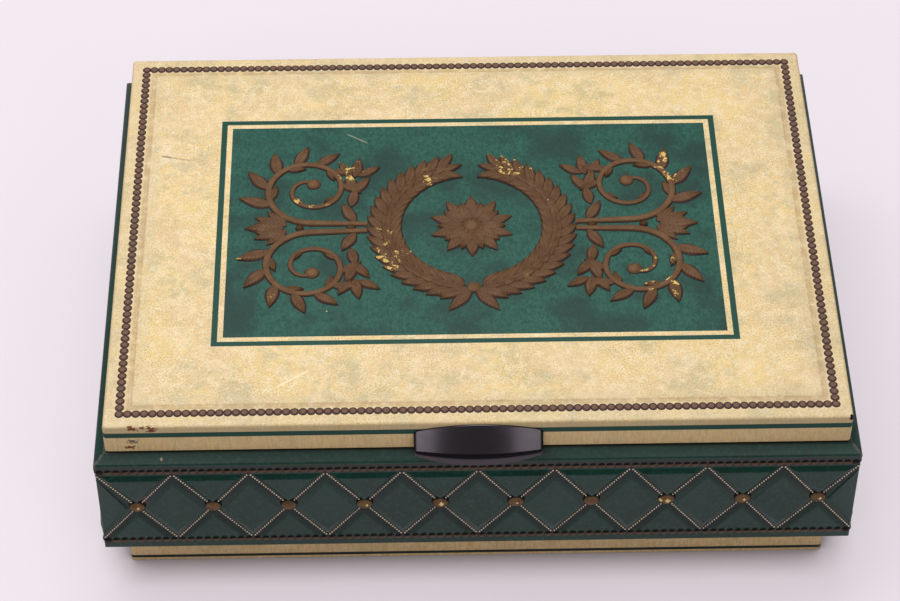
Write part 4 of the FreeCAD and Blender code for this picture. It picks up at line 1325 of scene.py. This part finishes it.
select(lift, "edges", spans_end)
bpy.ops.mesh.dissolve_edges(use_verts=False)
bevel(lift, along_front, NOSE_ROUND, segments=3, clamp_overlap=False)
bevel(lift, on_end_outline, END_ROUND, segments=4, clamp_overlap=False)
finish_piece(lift, rounding(CREST_ROUND, segments=2, angle=32), ("WELD", {"merge_threshold": WELD_GAP}))
shade(lift, angle=50)
make_active(lift)
bpy.ops.object.modifier_add(type="WEIGHTED_NORMAL")
bpy.ops.object.modifier_apply(modifier="WeightedNormal")
LIFT_BLACK = (0.0065, 0.0055, 0.0070)
LIFT_SHEEN = (1.0, 0.86, 0.98)
lift_gloss = {"IOR": 1.5, "Specular IOR Level": 0.57, "Specular Tint": LIFT_SHEEN}
lift_plastic = Finish("lift_plastic", LIFT_BLACK, lift_gloss)
lift_scuffs = lift_plastic.noise(1.5, 3.0, stretch=(0.3, 1.0, 1.0))
lift_plastic.show({"Roughness": 0.13 + lift_scuffs * 0.08})
lift_plastic.paint(lift)
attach(lift, "lid")
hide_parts("thumb_lift")


# Stage: a pale floor that is darker close to the foot, one large soft box overhead, a small one to each
# side in front, and the camera at the photo's angle.
CAMERA_PLACE = Vector((-20.70, -682.22, 750.96)) * MM
CAMERA_TARGET = Vector((-7.38, 0, 36.18)) * MM
LENS = 113.2
SENSOR = 36.0
FLOOR_SIZE = 60
FAR_OFF = (220, 500)

bpy.ops.object.select_all(action="DESELECT")
bpy.ops.mesh.primitive_plane_add(size=FLOOR_SIZE, location=(0, 0, 0))
floor = bpy.context.object
floor.name = "floor"
PAPER = (0.52, 0.48, 0.505)
SEEN_PAPER = (0.41, 0.372, 0.395)
SEEN_GLOW = (0.476, 0.434, 0.470)
NO_GLOW = (0, 0, 0)
SHADE_REACH = 13 * MM
SHADE_START = 0.45
SHADE_GAIN = 1.85
matt_glow = {"Roughness": 0.9, "Specular IOR Level": 0.0, "Emission Strength": 1.0}
floor_paper = Finish("floor_paper", PAPER, matt_glow)
floor_x, floor_y = floor_paper.split(floor_paper.place)[:2]
far_off = (floor_x * floor_x + floor_y * floor_y).math("SQRT").rise(*FAR_OFF)
seen = floor_paper.node("LightPath", {}, {}, "Is Camera Ray")
seen = seen.math("MAXIMUM", floor_paper.node("LightPath", {}, {}, "Is Glossy Ray") * (1 - far_off))
seen = seen.math("MAXIMUM", floor_paper.node("LightPath", {}, {}, "Is Transmission Ray"))
open_sky = floor_paper.node("AmbientOcclusion", {"samples": 16}, {"Distance": SHADE_REACH}, "AO")
seen_glow = floor_paper.mix((open_sky - SHADE_START) * SHADE_GAIN, NO_GLOW, SEEN_GLOW)
floor_paper.coat(seen, SEEN_PAPER)
floor_paper.show({"Emission Color": floor_paper.mix(seen, NO_GLOW, seen_glow)})
floor_paper.paint(floor)

ROOM_BRIGHT = 0.56
ROOM_DARK = 0.05
ROOM_RISE = (0.40, 0.62)
ROOM_COLOUR = (0.97, 0.95, 0.98, 1)
world = bpy.data.worlds.new("studio")
world.use_nodes = True
room = world.node_tree
direction = room.nodes.new("ShaderNodeTexCoord")
parts = room.nodes.new("ShaderNodeSeparateXYZ")
by_height = room.nodes.new("ShaderNodeMapRange")
by_height.interpolation_type = "SMOOTHSTEP"
for socket, value in zip(by_height.inputs[1:5], (*ROOM_RISE, ROOM_DARK, ROOM_BRIGHT)):
    socket.default_value = value
room.links.new(direction.outputs["Generated"], parts.inputs[0])
room.links.new(parts.outputs["Z"], by_height.inputs[0])
room.links.new(by_height.outputs[0], room.nodes["Background"].inputs["Strength"])
room.nodes["Background"].inputs["Color"].default_value = ROOM_COLOUR
bpy.context.scene.world = world

SOFT_BOXES = (
    ("key", (-0.25, 0.45, 1.40), (1.5, 0.9), 14.6),
    ("strip_left", (-0.46, -1.019, 0.832), (0.45, 0.32), 1.78),
    ("strip_right", (0.46, -1.019, 0.832), (0.45, 0.32), 1.78),
)
for name, spot, (wide, tall), watts in SOFT_BOXES:
    bpy.ops.object.light_add(type="AREA", location=spot)
    box = bpy.context.object
    box.name = name
    box.data.shape = "RECTANGLE"
    box.data.size = wide
    box.data.size_y = tall
    box.data.energy = watts
    box.rotation_euler = (Vector((0, 0, 0)) - box.location).to_track_quat("-Z", "Y").to_euler()

bpy.ops.object.camera_add(location=CAMERA_PLACE)
camera = bpy.context.object
camera.rotation_euler = (CAMERA_TARGET - CAMERA_PLACE).to_track_quat("-Z", "Y").to_euler()
camera.data.sensor_fit = "HORIZONTAL"
camera.data.sensor_width = SENSOR
camera.data.lens = LENS
bpy.context.scene.camera = camera
bpy.context.scene.view_settings.view_transform = "Standard"
